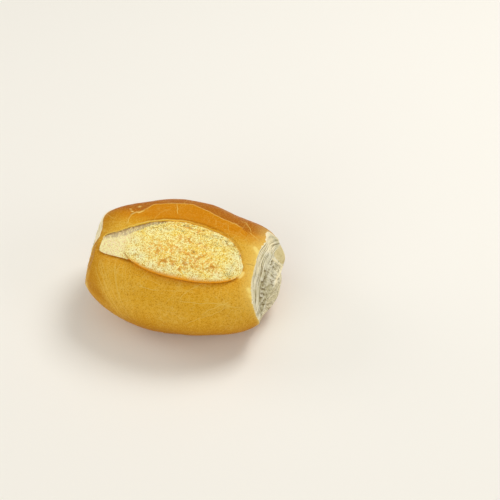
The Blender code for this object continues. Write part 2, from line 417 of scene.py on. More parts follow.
def crust_chart(ring, turn, rings):
    """Chart angles, lift and mm from the slash's edge of points by ring and turn round it."""
    edge_along, edge_across = slash_edge(turn)
    reach = np.hypot(edge_along, edge_across)
    heading = np.arctan2(edge_across, edge_along)
    nudge = 1e-3
    ahead = np.array(slash_edge(turn + nudge))
    behind = np.array(slash_edge(turn - nudge))
    run = ahead - behind
    run /= np.maximum(np.hypot(*run), 1e-9)
    out_along, out_across = run[1], -run[0]

    back = smooth_step(-0.25, 0.45, np.sin(turn))
    wing = smooth_step(0.62, 0.93, -np.cos(turn))
    right_tip = smooth_step(0.80, 0.985, np.cos(turn))
    relief = (1.0 - 0.55 * wing) * (1.0 - 0.85 * right_tip)
    section_count = len(BACK_SECTION)
    section = np.clip(ring - FLOOR_RINGS, 0, section_count - 1)
    backs = np.array(BACK_SECTION)[section]
    fronts = np.array(FRONT_SECTION)[section]
    offset = fronts[:, 0] + (backs[:, 0] - fronts[:, 0]) * back
    raised = fronts[:, 1] + (backs[:, 1] - fronts[:, 1]) * back
    raised = np.where(raised > -1.5, raised * relief, raised)

    last = FLOOR_RINGS + section_count - 1
    share = np.clip((ring - last) / (rings - last), 0.0, 1.0)
    spread = share ** 1.12 * 0.985 + 0.015 * share
    far = (np.pi - reach) * spread
    offset_angle = offset / CHART_MM + far
    keep = np.exp(-far / math.radians(16.0))
    turned = heading + (turn - heading) * share
    step_along = np.cos(heading) * (1.0 - keep) + out_along * keep
    step_across = np.sin(heading) * (1.0 - keep) + out_across * keep
    near_along = edge_along + step_along * offset_angle
    near_across = edge_across + step_across * offset_angle
    far_reach = reach + offset_angle
    far_along = far_reach * np.cos(turned)
    far_across = far_reach * np.sin(turned)
    blend = smooth_step(0.05, 0.5, share)
    along = near_along + (far_along - near_along) * blend
    across = near_across + (far_across - near_across) * blend

    fade = np.clip(1.0 - far * CHART_MM / LIP_FADE_MM, 0.0, 1.0) ** 2
    lift = np.where(ring > last, raised * fade, raised) * MM
    floor = np.clip(ring / FLOOR_RINGS, 0.0, 1.0)
    in_floor = ring < FLOOR_RINGS
    first_offset = offset / CHART_MM
    floor_along = (edge_along + out_along * first_offset) * floor
    floor_across = (edge_across + out_across * first_offset) * floor
    along = np.where(in_floor, floor_along, along)
    across = np.where(in_floor, floor_across, across)
    return along, across, lift, offset + far * CHART_MM


def edge_samples(count=720):
    """Points of the slash's edge on the lozenge."""
    turn = np.linspace(-np.pi, np.pi, count, endpoint=False)
    return lozenge(chart_direction(*slash_edge(turn)), np.zeros(count))


def rim_samples(side, count=720):
    """Points of a torn end's rim, where the lozenge meets the torn face."""
    around = np.linspace(0.0, 2.0 * np.pi, count, endpoint=False)
    low = np.zeros(count)
    high = np.full(count, 0.5 * np.pi)
    for _ in range(40):
        middle = (low + high) / 2.0
        direction = np.stack((side * np.cos(middle), np.sin(middle) * np.cos(around),
                              np.sin(middle) * np.sin(around)), axis=1)
        points = settled(lozenge(direction, np.zeros(count)))
        beyond = side * (points[:, 0] - CORE[0]) > torn_face(points, side)
        low = np.where(beyond, middle, low)
        high = np.where(beyond, high, middle)
    return points


def patch_share(around, side):
    """Share of the way out to the rim that a torn face's crumb reaches, at an angle round it.

    Degrees run from the back over the top to the front. At the left the crust wraps the front.
    """
    if side > 0:
        return np.ones(len(around))
    stations = (0.0, 60.0, 90.0, 98.0, 106.0, 125.0, 180.0, 220.0, 260.0, 300.0, 360.0)
    shares = (1.0, 1.0, 0.98, 0.86, 0.58, 0.46, 0.44, 0.50, 0.70, 0.93, 1.0)
    return np.interp(np.degrees(around % (2.0 * np.pi)), stations, shares)


def under_crumb(points, side):
    """1 where points of the crust lie under a torn face's crumb, and 0 outside it."""
    rim = rim_samples(side)
    rim_y, rim_z = (rim - rim.mean(axis=0))[:, 1:].T
    y, z = (points - rim.mean(axis=0))[:, 1:].T
    turn = np.arctan2(z, y)
    reach = np.hypot(y, z)
    full = np.interp(turn, np.arctan2(rim_z, rim_y), np.hypot(rim_y, rim_z), period=2.0 * np.pi)
    edge = patch_share(turn, side)
    return smooth_step(edge + 0.01, edge - 0.06, reach / full)


def nearest_sample(points, samples):
    """Index of the sample nearest to each point, and the distance to it in mm."""
    tree = KDTree(len(samples))
    for index, sample in enumerate(samples):
        tree.insert(sample, index)
    tree.balance()
    found = [tree.find(point) for point in points]
    return np.array([hit[1] for hit in found]), np.array([hit[2] for hit in found]) / MM


# ---------------------------------------------------------------- cracks of the crust

# Cracks that stand out, as places along and across the slash in mm, each with its strength
RIDGE = ((-32.0, 11.8), (-33.2, 15.5), (-33.6, 19.7), (-31.5, 22.3), (-29.1, 24.9), (-26.0, 33.5),
         (-18.2, 36.8), (-7.3, 41.2), (-2.0, 42.8), (2.9, 41.3), (11.6, 38.2), (21.6, 32.6),
         (29.7, 29.0), (32.8, 26.3))
NAMED_CRACKS = (
    (RIDGE, 0.75),
    (((-12.5, 38.6), (-10.9, 35.5), (-9.7, 31.4), (-8.1, 28.1)), 0.70),
    (((-17.5, -20.8), (-16.7, -23.6), (-12.7, -24.2), (-9.6, -25.0), (-4.8, -24.6)), 0.56),
    (((-19.2, -22.6), (-16.7, -23.6), (-15.3, -21.5)), 0.56),
    (((4.9, -28.9), (10.0, -28.3), (17.4, -27.2), (24.2, -24.7), (37.0, -22.8)), 0.56),
    (((5.4, -29.2), (7.3, -24.9), (11.5, -21.2), (16.2, -17.5), (17.4, -15.7)), 0.50),
    (((18.0, -33.7), (22.3, -29.0), (26.6, -25.3), (31.2, -21.0)), 0.56),
    (((10.0, -42.6), (17.6, -36.0), (24.2, -31.1), (28.8, -26.2), (31.8, -21.5)), 0.50),
    (((-6.6, -24.8), (1.5, -24.2), (9.2, -22.8), (14.6, -22.8)), 0.31),
    (((-38.6, -8.0), (-39.3, -12.2), (-37.8, -16.3)), 0.43),
    (((-39.2, -12.5), (-37.1, -19.2), (-36.8, -28.1), (-34.4, -37.4)), 0.43),
    (((-38.5, -8.8), (-35.8, -15.9), (-34.0, -23.6), (-29.9, -37.5)), 0.43),
    (((-29.0, -9.9), (-30.2, -16.8), (-29.9, -23.9), (-29.4, -31.8), (-26.7, -37.5)), 0.37),
    (((31.5, 35.9), (35.2, 33.6), (37.2, 27.8), (38.3, 23.8)), 0.60),
    (((36.4, 24.9), (38.8, 22.2), (41.0, 19.9), (42.5, 18.0)), 0.60),
)
# The pale hem of the crust at the left end, below its tear, partly pale crust and partly a painted
# highlight: X, Y and Z in mm, and its breadth
LEFT_HEM = ((-55.3, -5.5, 42.6), (-56.0, -10.2, 38.4), (-56.2, -12.5, 36.4), (-56.4, -17.6, 32.6),
            (-55.8, -23.4, 30.0), (-56.0, -23.2, 25.0))
LEFT_HEM_BREADTH = 2.3
CRACK_STEP_MM = 0.3
STRAY_CRACKS = 80

# Pale torn marks of the crust: places in mm along and across the slash, and breadths in mm
PALE_MARKS = (
    (((-33.6, 20.6), (-32.9, 22.6), (-31.8, 23.3), (-30.6, 22.4), (-29.2, 24.6)), 0.30),
    (((-34.2, 22.6), (-36.0, 24.3), (-36.9, 25.6)), 0.25),
    (((-33.5, 29.8), (-33.4, 28.7)), 0.55),
    (((40.1, 12.4), (40.9, 10.7), (41.5, 9.1)), 0.75),
    (((38.0, -12.7), (38.7, -13.7)), 0.75),
    (((39.2, -15.5), (40.6, -16.2), (42.2, -17.2)), 0.75),
)


def named_crack(line, rng):
    """Directions from the core along a crack given by its corners, with a slight shake."""
    corners = np.array(line)
    run = np.concatenate(((0.0,), np.cumsum(np.hypot(*np.diff(corners, axis=0).T))))
    place = np.arange(0.0, run[-1], CRACK_STEP_MM)
    shake = 0.10 * np.sin(place * rng.uniform(0.7, 1.3) + rng.uniform(0.0, 6.0))
    along = np.interp(place, run, corners[:, 0]) + shake
    across = np.interp(place, run, corners[:, 1]) - shake
    return chart_direction(along / CHART_MM, across / CHART_MM)


def stray_crack(rng, start=None, length=None):
    """Directions from the core along a crack that runs over the crust, with a few kinks."""
    place = rng.normal(size=3) if start is None else start
    place = place / np.linalg.norm(place)
    heading = np.cross(place, rng.normal(size=3))
    heading /= np.linalg.norm(heading)
    steps = int((rng.uniform(6.0, 30.0) if length is None else length) / CRACK_STEP_MM)
    bend = rng.uniform(-0.005, 0.005)
    path = []
    for _ in range(steps):
        path.append(place)
        kink = rng.normal(0.0, 0.5) if rng.random() < 0.02 else 0.0
        place = place + heading * CRACK_STEP_MM / CHART_MM
        place /= np.linalg.norm(place)
        heading = heading + np.cross(place, heading) * (bend + kink + rng.normal(0.0, 0.03))
        heading -= place * heading.dot(place)
        heading /= np.linalg.norm(heading)
    return np.array(path)


def all_cracks():
    """Points, headings and strengths along every crack of the crust."""
    rng = np.random.default_rng(5)
    paths = [(named_crack(line, rng), strength) for line, strength in NAMED_CRACKS]
    for _ in range(STRAY_CRACKS):
        path = stray_crack(rng)
        strength = rng.uniform(0.08, 0.32)
        paths.append((path, strength))
        if rng.random() < 0.6:
            fork = stray_crack(rng, path[rng.integers(len(path))], rng.uniform(3.0, 9.0))
            paths.append((fork, 0.8 * strength))
    points, headings, strengths = [], [], []
    for path, strength in paths:
        place = lozenge(path, np.zeros(len(path)))
        heading = np.gradient(place, axis=0)
        heading /= np.linalg.norm(heading, axis=1)[:, None]
        ends = np.minimum(np.arange(len(path)), np.arange(len(path))[::-1]) * CRACK_STEP_MM
        points.append(place)
        headings.append(heading)
        strengths.append(strength * smooth_step(-0.5, 2.5, ends))
    return np.concatenate(points), np.concatenate(headings), np.concatenate(strengths)


def store_cracks(crust, flat):
    """Keep each point's place beside its nearest crack: over the line, away from it, strength."""
    points, headings, strengths = all_cracks()
    index, gap = nearest_sample(flat, points)
    outward = flat - CORE
    outward /= np.linalg.norm(outward, axis=1)[:, None]
    beside = np.cross(headings[index], outward)
    side = np.einsum("ij,ij->i", flat - points[index], beside) / MM
    store(crust, crack_side=side, crack_gap=gap, crack_share=strengths[index])


def off_segment(places, start, end):
    """Steps to places from the nearest point of the segment between two ends."""
    run = end - start
    share = np.clip((places - start) @ run / (run @ run), 0.0, 1.0)
    return places - start - share[:, None] * run


def line_distance(u, v, corners):
    """Distance in mm of chart places from a line through corners, to the left of it positive."""
    place = np.stack((u, v), axis=1)
    corners = np.array(corners)
    gap = np.full(len(place), 99.0)
    side = np.ones(len(place))
    for start, end in zip(corners[:-1], corners[1:]):
        run = end - start
        off = off_segment(place, start, end)
        distance = np.hypot(*off.T)
        nearer = distance < gap
        gap = np.where(nearer, distance, gap)
        side = np.where(nearer, np.sign(run[0] * off[:, 1] - run[1] * off[:, 0]), side)
    return gap * side


def hem_distance(points, corners):
    """Distance in mm of points from a line through corners given in mm."""
    corners = np.array(corners)
    gaps = [np.linalg.norm(off_segment(points / MM, start, end), axis=1)
            for start, end in zip(corners[:-1], corners[1:])]
    return np.min(gaps, axis=0)


# Relief of the crust in metres: its torn ridge and the step beyond it, the unevenness of the dough
# beside the slash, over the whole roll and finely, pleats at the left, and the rag of its torn edges
RIDGE_LIFT = 0.00040
RIDGE_STEP = 0.00025
EDGE_UNEVENNESS = 0.00020
WIDE_UNEVENNESS = 0.00032
FINE_UNEVENNESS = 0.00006
PLEAT_DEPTH = 0.00012
RAG_DEPTH = 0.0003
DRAWN_BACK = 0.0024           # how far the crust lies back under a torn face's crumb


def make_crust(sizes):
    """The crust: one closed skin round the roll, folded in under the slash's crumb."""
    deselect_all()
    bpy.ops.mesh.primitive_uv_sphere_add(
        segments=sizes.crust_turns, ring_count=sizes.crust_rings, radius=1.0)
    crust = bpy.context.object
    sphere = read_points(crust)
    rings = sizes.crust_rings
    ring = np.rint(np.arccos(np.clip(sphere[:, 2], -1.0, 1.0)) / np.pi * rings).astype(int)
    turn = np.arctan2(sphere[:, 1], sphere[:, 0])
    along, across, lift, offset_mm = crust_chart(ring, turn, rings)
    flat = lozenge(chart_direction(along, across), np.zeros(len(ring)))
    near_edge = np.exp(-np.abs(offset_mm) / 3.0)
    back = np.clip(np.sin(turn), 0.0, 1.0)
    u, v = along * CHART_MM, across * CHART_MM
    beyond = line_distance(u, v, RIDGE)
    lift += RIDGE_LIFT * np.exp(-np.abs(beyond) / 1.6) - RIDGE_STEP * smooth_step(0.0, 2.0, beyond)
    lift += near_edge * EDGE_UNEVENNESS * layered_noise(flat, 0.007, 11)
    lift += WIDE_UNEVENNESS * layered_noise(flat, 0.022, 21, 3)
    lift += FINE_UNEVENNESS * layered_noise(flat, 0.0035, 31, 2)
    streak = u + (0.08 + 0.011 * (-28.0 - u)) * (v + 10.0)
    streak_share = np.exp(-((u + 33.0) / 8.0) ** 2) * smooth_step(-9.0, -15.0, v)
    streak_share *= smooth_step(-48.0, -38.0, v)
    pleat = wave_noise(chart_place(streak, 0.1 * v), 0.0028, 37)
    lift += PLEAT_DEPTH * pleat * streak_share
    ripple = near_edge * (0.25 + 0.35 * back) * layered_noise(flat, 0.008, 41, 3) / CHART_MM
    direction = chart_direction(along, across + ripple * np.tanh(v / 5.0))
    points = settled(lozenge(direction, lift))
    rag = RAG_DEPTH * layered_noise(points, 0.004, 47, 3)
    for side in (1, -1):
        limit = torn_face(points, side) + rag - DRAWN_BACK * under_crumb(points, side)
        reach = side * (points[:, 0] - CORE[0])
        points[:, 0] = CORE[0] + side * np.minimum(reach, limit)
    write_points(crust, points)

    height = points[:, 2] / MM
    from_slash = nearest_sample(points, edge_samples())[1]
    from_right = nearest_sample(points, rim_samples(1))[1]
    from_left = nearest_sample(points, rim_samples(-1))[1]
    front = np.clip(-np.sin(turn), 0.0, 1.0)
    # Painted shade: the crust is deepened under the crumb's front edge and at its low right corner
    # next to the floor; the crown's browning is real.
    crease = np.exp(-from_slash / 4.0) * smooth_step(0.0, 0.4, front)
    crown = smooth_step(10.0, 24.0, v) * smooth_step(26.0, 46.0, height)
    low_right_shade = smooth_step(26.0, 44.0, u) * smooth_step(28.0, 12.0, height)
    low_right_shade *= smooth_step(0.0, -20.0, v)
    rust = smooth_step(0.0, 1.4, beyond) * smooth_step(19.0, 27.0, v) * smooth_step(74.0, 46.0, v)
    # Painted shade: the crust is darkened low down and towards the left end, less so at the low left.
    dull = smooth_step(-34.0, -45.0, u) * 0.8 + smooth_step(38.0, 12.0, height)
    low_left = smooth_step(-30.0, -42.0, u) * smooth_step(32.0, 24.0, height)
    patchy = layered_noise(flat, 0.006, 43, 3)
    breadth = np.maximum(1.3 + 0.9 * patchy, 0.3)
    breadth *= 1.0 - 0.6 * smooth_step(4.0, 16.0, points[:, 1] / MM)
    halo = np.exp(-(from_right / breadth) ** 1.4)
    left_end = smooth_step(-50.0, -53.0, points[:, 0] / MM)
    halo = np.maximum(halo, 0.6 * np.exp(-from_left / 0.7) * left_end)
    # The pale hem below the left tear is partly pale crust and partly a painted highlight along the
    # left edge.
    hem = np.exp(-(hem_distance(points, LEFT_HEM) / LEFT_HEM_BREADTH) ** 2) * (0.65 + 0.3 * patchy)
    halo = np.maximum(halo, np.clip(hem, 0.0, 1.0))
    mark = np.zeros(len(u))
    for corners, breadth in PALE_MARKS:
        gap = np.abs(line_distance(u, v, corners)) / (breadth * (1.0 + 0.4 * patchy))
        mark = np.maximum(mark, np.exp(-gap ** 2))
    tip = smooth_step(2.6, 1.6, from_slash) * smooth_step(29.0, 32.0, u)
    tip *= smooth_step(-4.0, -5.5, v) * smooth_step(-9.5, -8.0, v)
    # Painted highlight: a pale line along the back lip's edge.
    lip = smooth_step(0.3, -0.1, offset_mm) * np.sqrt(back) * smooth_step(22.0, -18.0, u) * 0.8
    # Painted shade along the slash's edges: a dark line beside the back lip and a band under the
    # crumb's front edge; a small dark spot near the left end of the ridge is added to it.
    seam = np.exp(-((offset_mm - 0.6) / 0.6) ** 2) * np.sqrt(back) * smooth_step(-28.0, -20.0, u) * 0.6
    seam = np.maximum(seam, smooth_step(1.6, 0.5, offset_mm) * np.sqrt(front) * 0.7)
    seam = np.maximum(seam, np.exp(-(np.hypot(u + 33.5, v - 21.2) / 0.9) ** 2))
    warm_band = 0.40 * np.exp(-(from_right / 6.5) ** 2) * smooth_step(-30.0, -14.0, v)
    pale = np.maximum(0.85 * halo, warm_band) + mark + tip + lip
    store(crust, deep=np.clip(0.70 * crease + crown + 0.6 * low_right_shade, 0.0, 1.0),
          rust=np.maximum(rust, 0.30 * crown), dull=np.clip(dull, 0.0, 1.0) - 0.4 * low_left,
          seam=np.clip(seam - tip, 0.0, 1.0), pale=np.clip(pale, 0.0, 1.0),
          inside_slash=ring < FLOOR_RINGS + 8, streak=streak * MM, streak_share=streak_share)
    store_cracks(crust, flat)
    face_outwards(crust)
    return crust


# Heights in mm over the lozenge along a line from the crumb's front edge (0) to its end under
# the back lip (1), at the wing on the left, in the middle and at the right tip
PLACES = (0.00, 0.12, 0.30, 0.50, 0.66, 0.76, 0.82, 0.90, 0.96, 1.00)
LEFT_HEIGHTS = (0.0, 0.3, 0.5, 0.4, 0.1, -0.1, -0.2, -0.4, -0.6, -0.9)
MIDDLE_HEIGHTS = (1.5, 2.3, 2.7, 2.5, 2.0, 1.3, 1.4, 0.9, -0.1, -1.0)
RIGHT_HEIGHTS = (0.7, 1.1, 1.3, 1.2, 0.9, 0.5, 0.4, 0.2, -0.3, -0.9)
HEM = 0.085                   # share of the rows that roll under the front edge
ROLL_MM = 1.1                 # how far the rolled edge stands out over the crust
UNDER_LIP_MM = 1.6            # how far the crumb runs on under the back lip
HOLLOW_MM = 5.6               # reach of the hollow from the back lip, at the left
HOLLOW_DEPTH_MM = 1.0
LIP_CORNERS = 100             # corners of the line that stands for the back lip

# The left end of the cushion's front edge, in mm along and across the slash
CUSHION_EDGE = ((-28.1, -5.4), (-27.4, -6.5), (-26.3, -8.0), (-24.7, -9.6), (-22.1, -11.6),
                (-19.1, -13.3))

# Toasted and pale places of the crumb: along, across, reach and strength, in mm
TOASTED = (
    (-7.2, -9.4, 3.2, 1.0), (5.1, 5.9, 3.0, 0.7), (-15.5, -2.5, 3.5, 0.4), (3.8, -11.3, 3.0, 0.7),
    (8.3, -6.9, 3.5, 0.9), (21.3, -8.5, 3.0, 0.8), (17.9, -5.9, 3.5, 0.8), (-2.1, -8.9, 3.0, 0.7),
    (0.8, 7.3, 3.5, 0.6), (12.5, 3.8, 3.5, 0.6), (-12.0, -2.0, 6.0, 0.75), (13.0, -7.5, 4.0, 0.8),
    (-4.0, -1.0, 6.0, 0.75), (6.0, -3.0, 6.0, 0.7), (14.0, -2.0, 5.0, 0.65),
    (2.0, 17.5, 3.5, 0.8), (10.0, 16.0, 4.0, 0.7), (-6.0, 18.0, 3.5, 0.6),
)
WHITENED = (
    (-22.9, -5.0, 3.6, 1.0), (-19.0, -8.0, 3.6, 1.0), (-12.2, -11.8, 3.4, 1.0),
    (-6.9, -14.0, 2.8, 0.8), (-24.5, 1.5, 4.0, 0.8), (0.1, -16.0, 2.6, 0.7),
    (12.0, -15.3, 3.2, 1.0), (22.7, -11.0, 3.0, 0.9), (29.1, -5.6, 3.4, 1.0),
    (-2.0, -12.5, 3.0, 0.8), (32.2, 2.4, 3.4, 1.0), (34.0, -2.4, 4.0, 1.0),
    (-11.5, 11.7, 3.0, 0.6), (-18.2, 8.6, 3.0, 0.6), (20.2, 14.6, 3.0, 0.8),
    (26.0, 10.0, 3.5, 0.7), (-37.5, 2.2, 1.6, 0.9),
)
# Small scorched crumbs, and short splits and rows of holes, in mm along and across the slash
SCORCHED = (
    (-7.4, -9.2, 1.0), (-5.7, -9.3, 1.2), (4.9, 7.5, 1.1), (20.0, -7.1, 1.2), (2.5, -12.5, 1.0),
    (5.1, -8.3, 1.3), (-0.5, -10.5, 0.8), (15.0, 3.8, 0.8), (12.7, -4.2, 0.8), (11.6, 5.8, 0.7),
    (17.5, -8.5, 0.8), (9.5, -9.5, 0.9), (-11.0, -6.0, 0.7), (-3.0, -6.5, 0.7),
)
SPLITS = (
    ((-21.5, 12.4), (-19.1, 11.9), (-16.5, 11.9), (-13.6, 11.3)),
    ((-14.8, 15.3), (-12.7, 14.4), (-9.8, 12.3), (-8.0, 13.2)),
    ((-5.3, 14.2), (-2.7, 14.1), (0.8, 12.3)),
    ((-0.7, 18.5), (3.5, 17.5), (6.4, 16.7)),
    ((7.9, 13.6), (11.3, 13.5), (14.8, 12.7), (17.8, 11.5)),
    ((19.3, 14.1), (21.0, 13.4)),
    ((19.8, 7.8), (22.1, 6.3)),
    ((30.5, 7.0), (31.7, 6.4), (33.6, 3.5)),
    ((27.0, -9.3), (28.2, -7.5)),
)


def cushion_gap(u, v):
    """Distance in mm of chart places from the left end of the cushion's edge, inside positive."""
    corners = np.array(CUSHION_EDGE)
    line = np.interp(u, corners[:, 0], corners[:, 1])
    return (v - line) * 0.75


def crumb_profile(row, turn):
    """Chart place of the slash crumb and its height in mm over the lozenge, with masks of it:
    the place rearwards, the crease, the hollow, and the distance in mm from the back lip.

    row runs from 0 at the hidden front hem, over the front edge, to 1 under the back lip.
    """
    along, front, back = slash_span(np.cos(turn))
    u = along * CHART_MM
    full = np.sin(turn) ** 0.6
    overhang = smooth_step(-24.0, -17.0, u) * smooth_step(36.0, 26.0, u)
    top = np.clip((row - HEM) / (1.0 - HEM), 0.0, 1.0)
    roll = np.clip(row / HEM, 0.0, 1.0)
    start = front - 0.6 * ROLL_MM * overhang / CHART_MM
    under_lip = UNDER_LIP_MM / CHART_MM * smooth_step(0.0, 0.45, np.sin(turn))
    v_top = start + (back + under_lip - start) * top
    left = smooth_step(-22.0, -31.0, u)
    right = smooth_step(24.0, 34.0, u)
    heights = np.interp(top, PLACES, MIDDLE_HEIGHTS) * (1.0 - left) * (1.0 - right)
    heights += np.interp(top, PLACES, LEFT_HEIGHTS) * left
    heights += np.interp(top, PLACES, RIGHT_HEIGHTS) * right
    v = v_top * CHART_MM
    lip = np.stack(slash_edge(np.linspace(np.pi, 0.0, LIP_CORNERS)), axis=1) * CHART_MM
    from_lip = -line_distance(u, v, lip)
    depth = from_lip + 0.9 * wave_noise(chart_place(u, 0.6 * v), 0.0024, 64)
    hollow = smooth_step(-8.0, -20.0, u) * smooth_step(HOLLOW_MM, 0.45 * HOLLOW_MM, depth)
    hollow *= smooth_step(0.0, 4.0, v)
    heights -= HOLLOW_DEPTH_MM * hollow * smooth_step(-1.8, 1.2, from_lip)
    gap = cushion_gap(u, v)
    window = smooth_step(-31.5, -29.0, u) * smooth_step(-17.0, -20.0, u)
    apron = window * smooth_step(0.35, -0.35, gap)
    heights = heights * (1.0 - apron) + 0.1 * apron
    crease = smooth_step(-28.8, -27.2, u) * smooth_step(-20.5, -23.5, u) * np.exp(-(gap / 0.40) ** 2)
    heights -= 0.9 * crease
    first = MIDDLE_HEIGHTS[0] * (1.0 - left) * (1.0 - right)
    first = (first + LEFT_HEIGHTS[0] * left + RIGHT_HEIGHTS[0] * right) * (1.0 - window) + 0.1 * window
    swing = roll * np.pi * 0.5
    tucked = ROLL_MM * overhang * (1.0 - np.sin(swing)) * 1.6 + (1.0 - roll)
    hem_v = start + (tucked - 0.35 * overhang * np.sin(np.pi * roll)) / CHART_MM
    hem_height = -2.6 + (first + 2.6) * np.sin(swing)
    across = np.where(row < HEM, hem_v, v_top)
    height = np.where(row < HEM, hem_height, heights) * np.minimum(1.0, 0.35 + full)
    return along, across, height, top, crease, hollow, from_lip


CRUMB_DEPTH = 0.002           # how deep the closed sheets of crumb go, in metres
TORN_DEPTH = 0.004


def close_behind(piece, inward):
    """Close a sheet into a solid: its border goes inwards and is drawn together there."""
    select_only(piece)
    bpy.ops.object.mode_set(mode="EDIT")
    bpy.ops.mesh.select_mode(type="EDGE")
    bpy.ops.mesh.select_all(action="DESELECT")
    bpy.ops.mesh.select_non_manifold(use_wire=False, use_multi_face=False, use_non_contiguous=False,
                                     use_verts=False)
    bpy.ops.mesh.extrude_edges_move(TRANSFORM_OT_translate={"value": inward})
    bpy.ops.mesh.merge(type="CENTER")
    bpy.ops.mesh.select_mode(type="VERT")
    bpy.ops.object.mode_set(mode="OBJECT")


def spots(u, v, places):
    """Soft oval spots of the crumb, at places along and across the slash in mm."""
    strongest = np.zeros(len(u))
    for middle_u, middle_v, reach, strength in places:
        gap = np.hypot(u - middle_u, (v - middle_v) * 1.25) / reach
        strongest = np.maximum(strongest, strength * np.exp(-gap ** 2))
    return strongest


def make_slash_crumb(sizes):
    """The crumb that swells out of the slash: a domed cushion, rolled over at the front."""
    deselect_all()
    bpy.ops.mesh.primitive_grid_add(
        x_subdivisions=sizes.crumb_columns, y_subdivisions=sizes.crumb_rows, size=2.0)
    crumb = bpy.context.object
    grid = read_points(crumb)
    turn = (0.004 + 0.992 * np.clip((1.0 - grid[:, 0]) / 2.0, 0.0, 1.0)) * np.pi
    row = np.clip((grid[:, 1] + 1.0) / 2.0, 0.0, 1.0)
    along, across, height, top, crease, hollow, from_lip = crumb_profile(row, turn)
    u, v = along * CHART_MM, across * CHART_MM
    flat = lozenge(chart_direction(along, across), np.zeros(len(row)))
    wing = smooth_step(-23.5, -31.0, u + 1.5 * layered_noise(flat, 0.006, 49, 2))
    open_air = smooth_step(0.0, 0.05, top) * smooth_step(1.0, 0.96, top)
    tips = smooth_step(0.0, 0.15, np.sin(turn))
    lively = open_air * tips * (1.0 - 0.75 * wing)
    lumps = 0.50 * layered_noise(flat, 0.011, 51, 2) + 0.30 * layered_noise(flat, 0.0042, 53, 2)
    grain = layered_noise(flat, 0.0021, 55, 3, 0.8)
    nearest = cell_noise(flat, 0.0017, 57)
    spread = layered_noise(flat, 0.007, 59, 2)
    near_lip = np.exp(-((from_lip - 3.2) / 2.4) ** 2)
    pits = smooth_step(0.48, 0.22, nearest) * smooth_step(0.45, 0.85, 0.7 * spread + 1.05 * near_lip)
    pits *= 1.0 - 0.85 * smooth_step(25.0, 30.0, u)
    beads = wave_noise(flat, 0.0011, 67)
    shake = 0.35 * wave_noise(flat, 0.0026, 69)
    tiny = cell_noise(flat, 0.0009, 73)
    splits = np.zeros(len(u))
    for corners in SPLITS:
        gap = np.abs(line_distance(u, v, corners) + shake)
        split = smooth_step(0.50, 0.20, gap) * smooth_step(-0.05, 0.40, beads)
        beside = smooth_step(2.0, 0.7, gap) * smooth_step(0.48, 0.22, tiny)
        splits = np.maximum(splits, np.maximum(0.45 * split, 0.70 * beside))
    fine = sizes.grain_depth / MM * grain * (1.0 - 0.5 * wing)
    height = height + lively * (lumps - 0.6 * pits) + open_air * tips * fine
    height -= 0.8 * splits * open_air
    ribs = layered_noise(chart_place(u + 0.3 * v, 0.45 * v), 0.0013, 63, 2, 0.9)
    height += 0.25 * ribs * hollow * open_air
    points = lozenge(chart_direction(along, across), height * MM)
    write_points(crumb, points)

    toasted = spots(u, v, TOASTED) + 0.12 * layered_noise(flat, 0.005, 61, 2)
    toasted = np.clip(toasted, 0.0, 1.0)
    white = spots(u, v, WHITENED)
    gap = np.min([np.hypot(u - middle_u, v - middle_v) / reach
                  for middle_u, middle_v, reach in SCORCHED], axis=0)
    scorched = smooth_step(1.15, 0.45, gap + 0.55 * grain + 0.4 * beads)
    ticks = smooth_step(0.15, 0.75, wave_noise(chart_place(u - 0.35 * v, 0.22 * v), 0.0016, 65))
    ticks *= smooth_step(24.0, 30.0, u)
    # Painted shade: the holes colour darkens the pits, splits and grooves, and also the hollow's rib
    # grooves and the crumb under the back lip.
    holes = pits * (1.0 - wing) + splits + 0.45 * ticks
    shadow = 0.45 * smooth_step(-0.2, 0.8, -ribs) + 0.30 * smooth_step(2.8, 0.8, from_lip)
    holes += hollow * shadow * (1.0 - 0.55 * wing)
    fuzzy = hollow + 0.24 * layered_noise(flat, 0.003, 71, 2)
    fuzz = 1.0 - 0.85 * smooth_step(0.0, 0.6, ribs)
    rim = np.exp(-(top / 0.042) ** 2) * smooth_step(-26.0, -20.0, u) * smooth_step(34.0, 28.0, u)
    rim = np.maximum(rim, 0.6 * smooth_step(1.1, 0.2, from_lip) * (1.0 - wing))
    # Painted shade: the crease at the left end of the cushion's front edge is darkened in the scorch
    # colour.
    store(crumb, toasted=toasted * (1.0 - 0.8 * white), white=white,
          scorched=np.maximum(0.75 * scorched, 0.85 * crease), grain=grain,
          holes=np.clip(holes, 0.0, 1.0) * open_air,
          hollow=hollow * smooth_step(-0.2, 0.9, fuzzy) * fuzz * open_air,
          wing=wing, rim=np.where(row < HEM, 1.0, rim))
    close_behind(crumb, (0.0, 0.0, -CRUMB_DEPTH))
    face_outwards(crumb)
    return crumb


# A tear is read along a line that rises from the low front of its rim to the high back
TEAR_ANGLE = math.radians(46.0)
# Share of the right tear's breadth, from its upper front rim, that strands cover, by places in mm
# along the tear. The strands arch over the face, as much as this for each mm from the middle.
STRAND_PLACES = (-12.0, 6.0, 8.4, 12.0, 15.5, 19.0)
STRAND_SHARES = (0.19, 0.24, 0.28, 0.38, 0.58, 1.0)
STRAND_ARCH = 0.0135
# Dark pits beside the strands, and a raised crest, in mm along and across the right tear
TEAR_PITS = ((6.3, 11.8), (1.7, 13.3), (-0.3, 15.7), (-4.5, 15.0), (-6.9, 16.9), (-9.4, 18.2))
TEAR_CREST = ((13.5, 0.1), (11.1, -6.9), (9.3, -13.6), (6.2, -12.3), (2.9, -2.8), (-1.0, 2.6))
CREST_SHARE = 0.35            # marks are this much narrower along the tear than across it
# A smooth patch of skin on it: places across it, and the patch's lower and upper edge along it
SKIN_ACROSS = (-20.0, -14.9, -10.9, -4.3)
SKIN_LOW = (9.6, 10.3, 11.2, 14.4)
SKIN_HIGH = (23.9, 21.5, 19.3, 16.3)


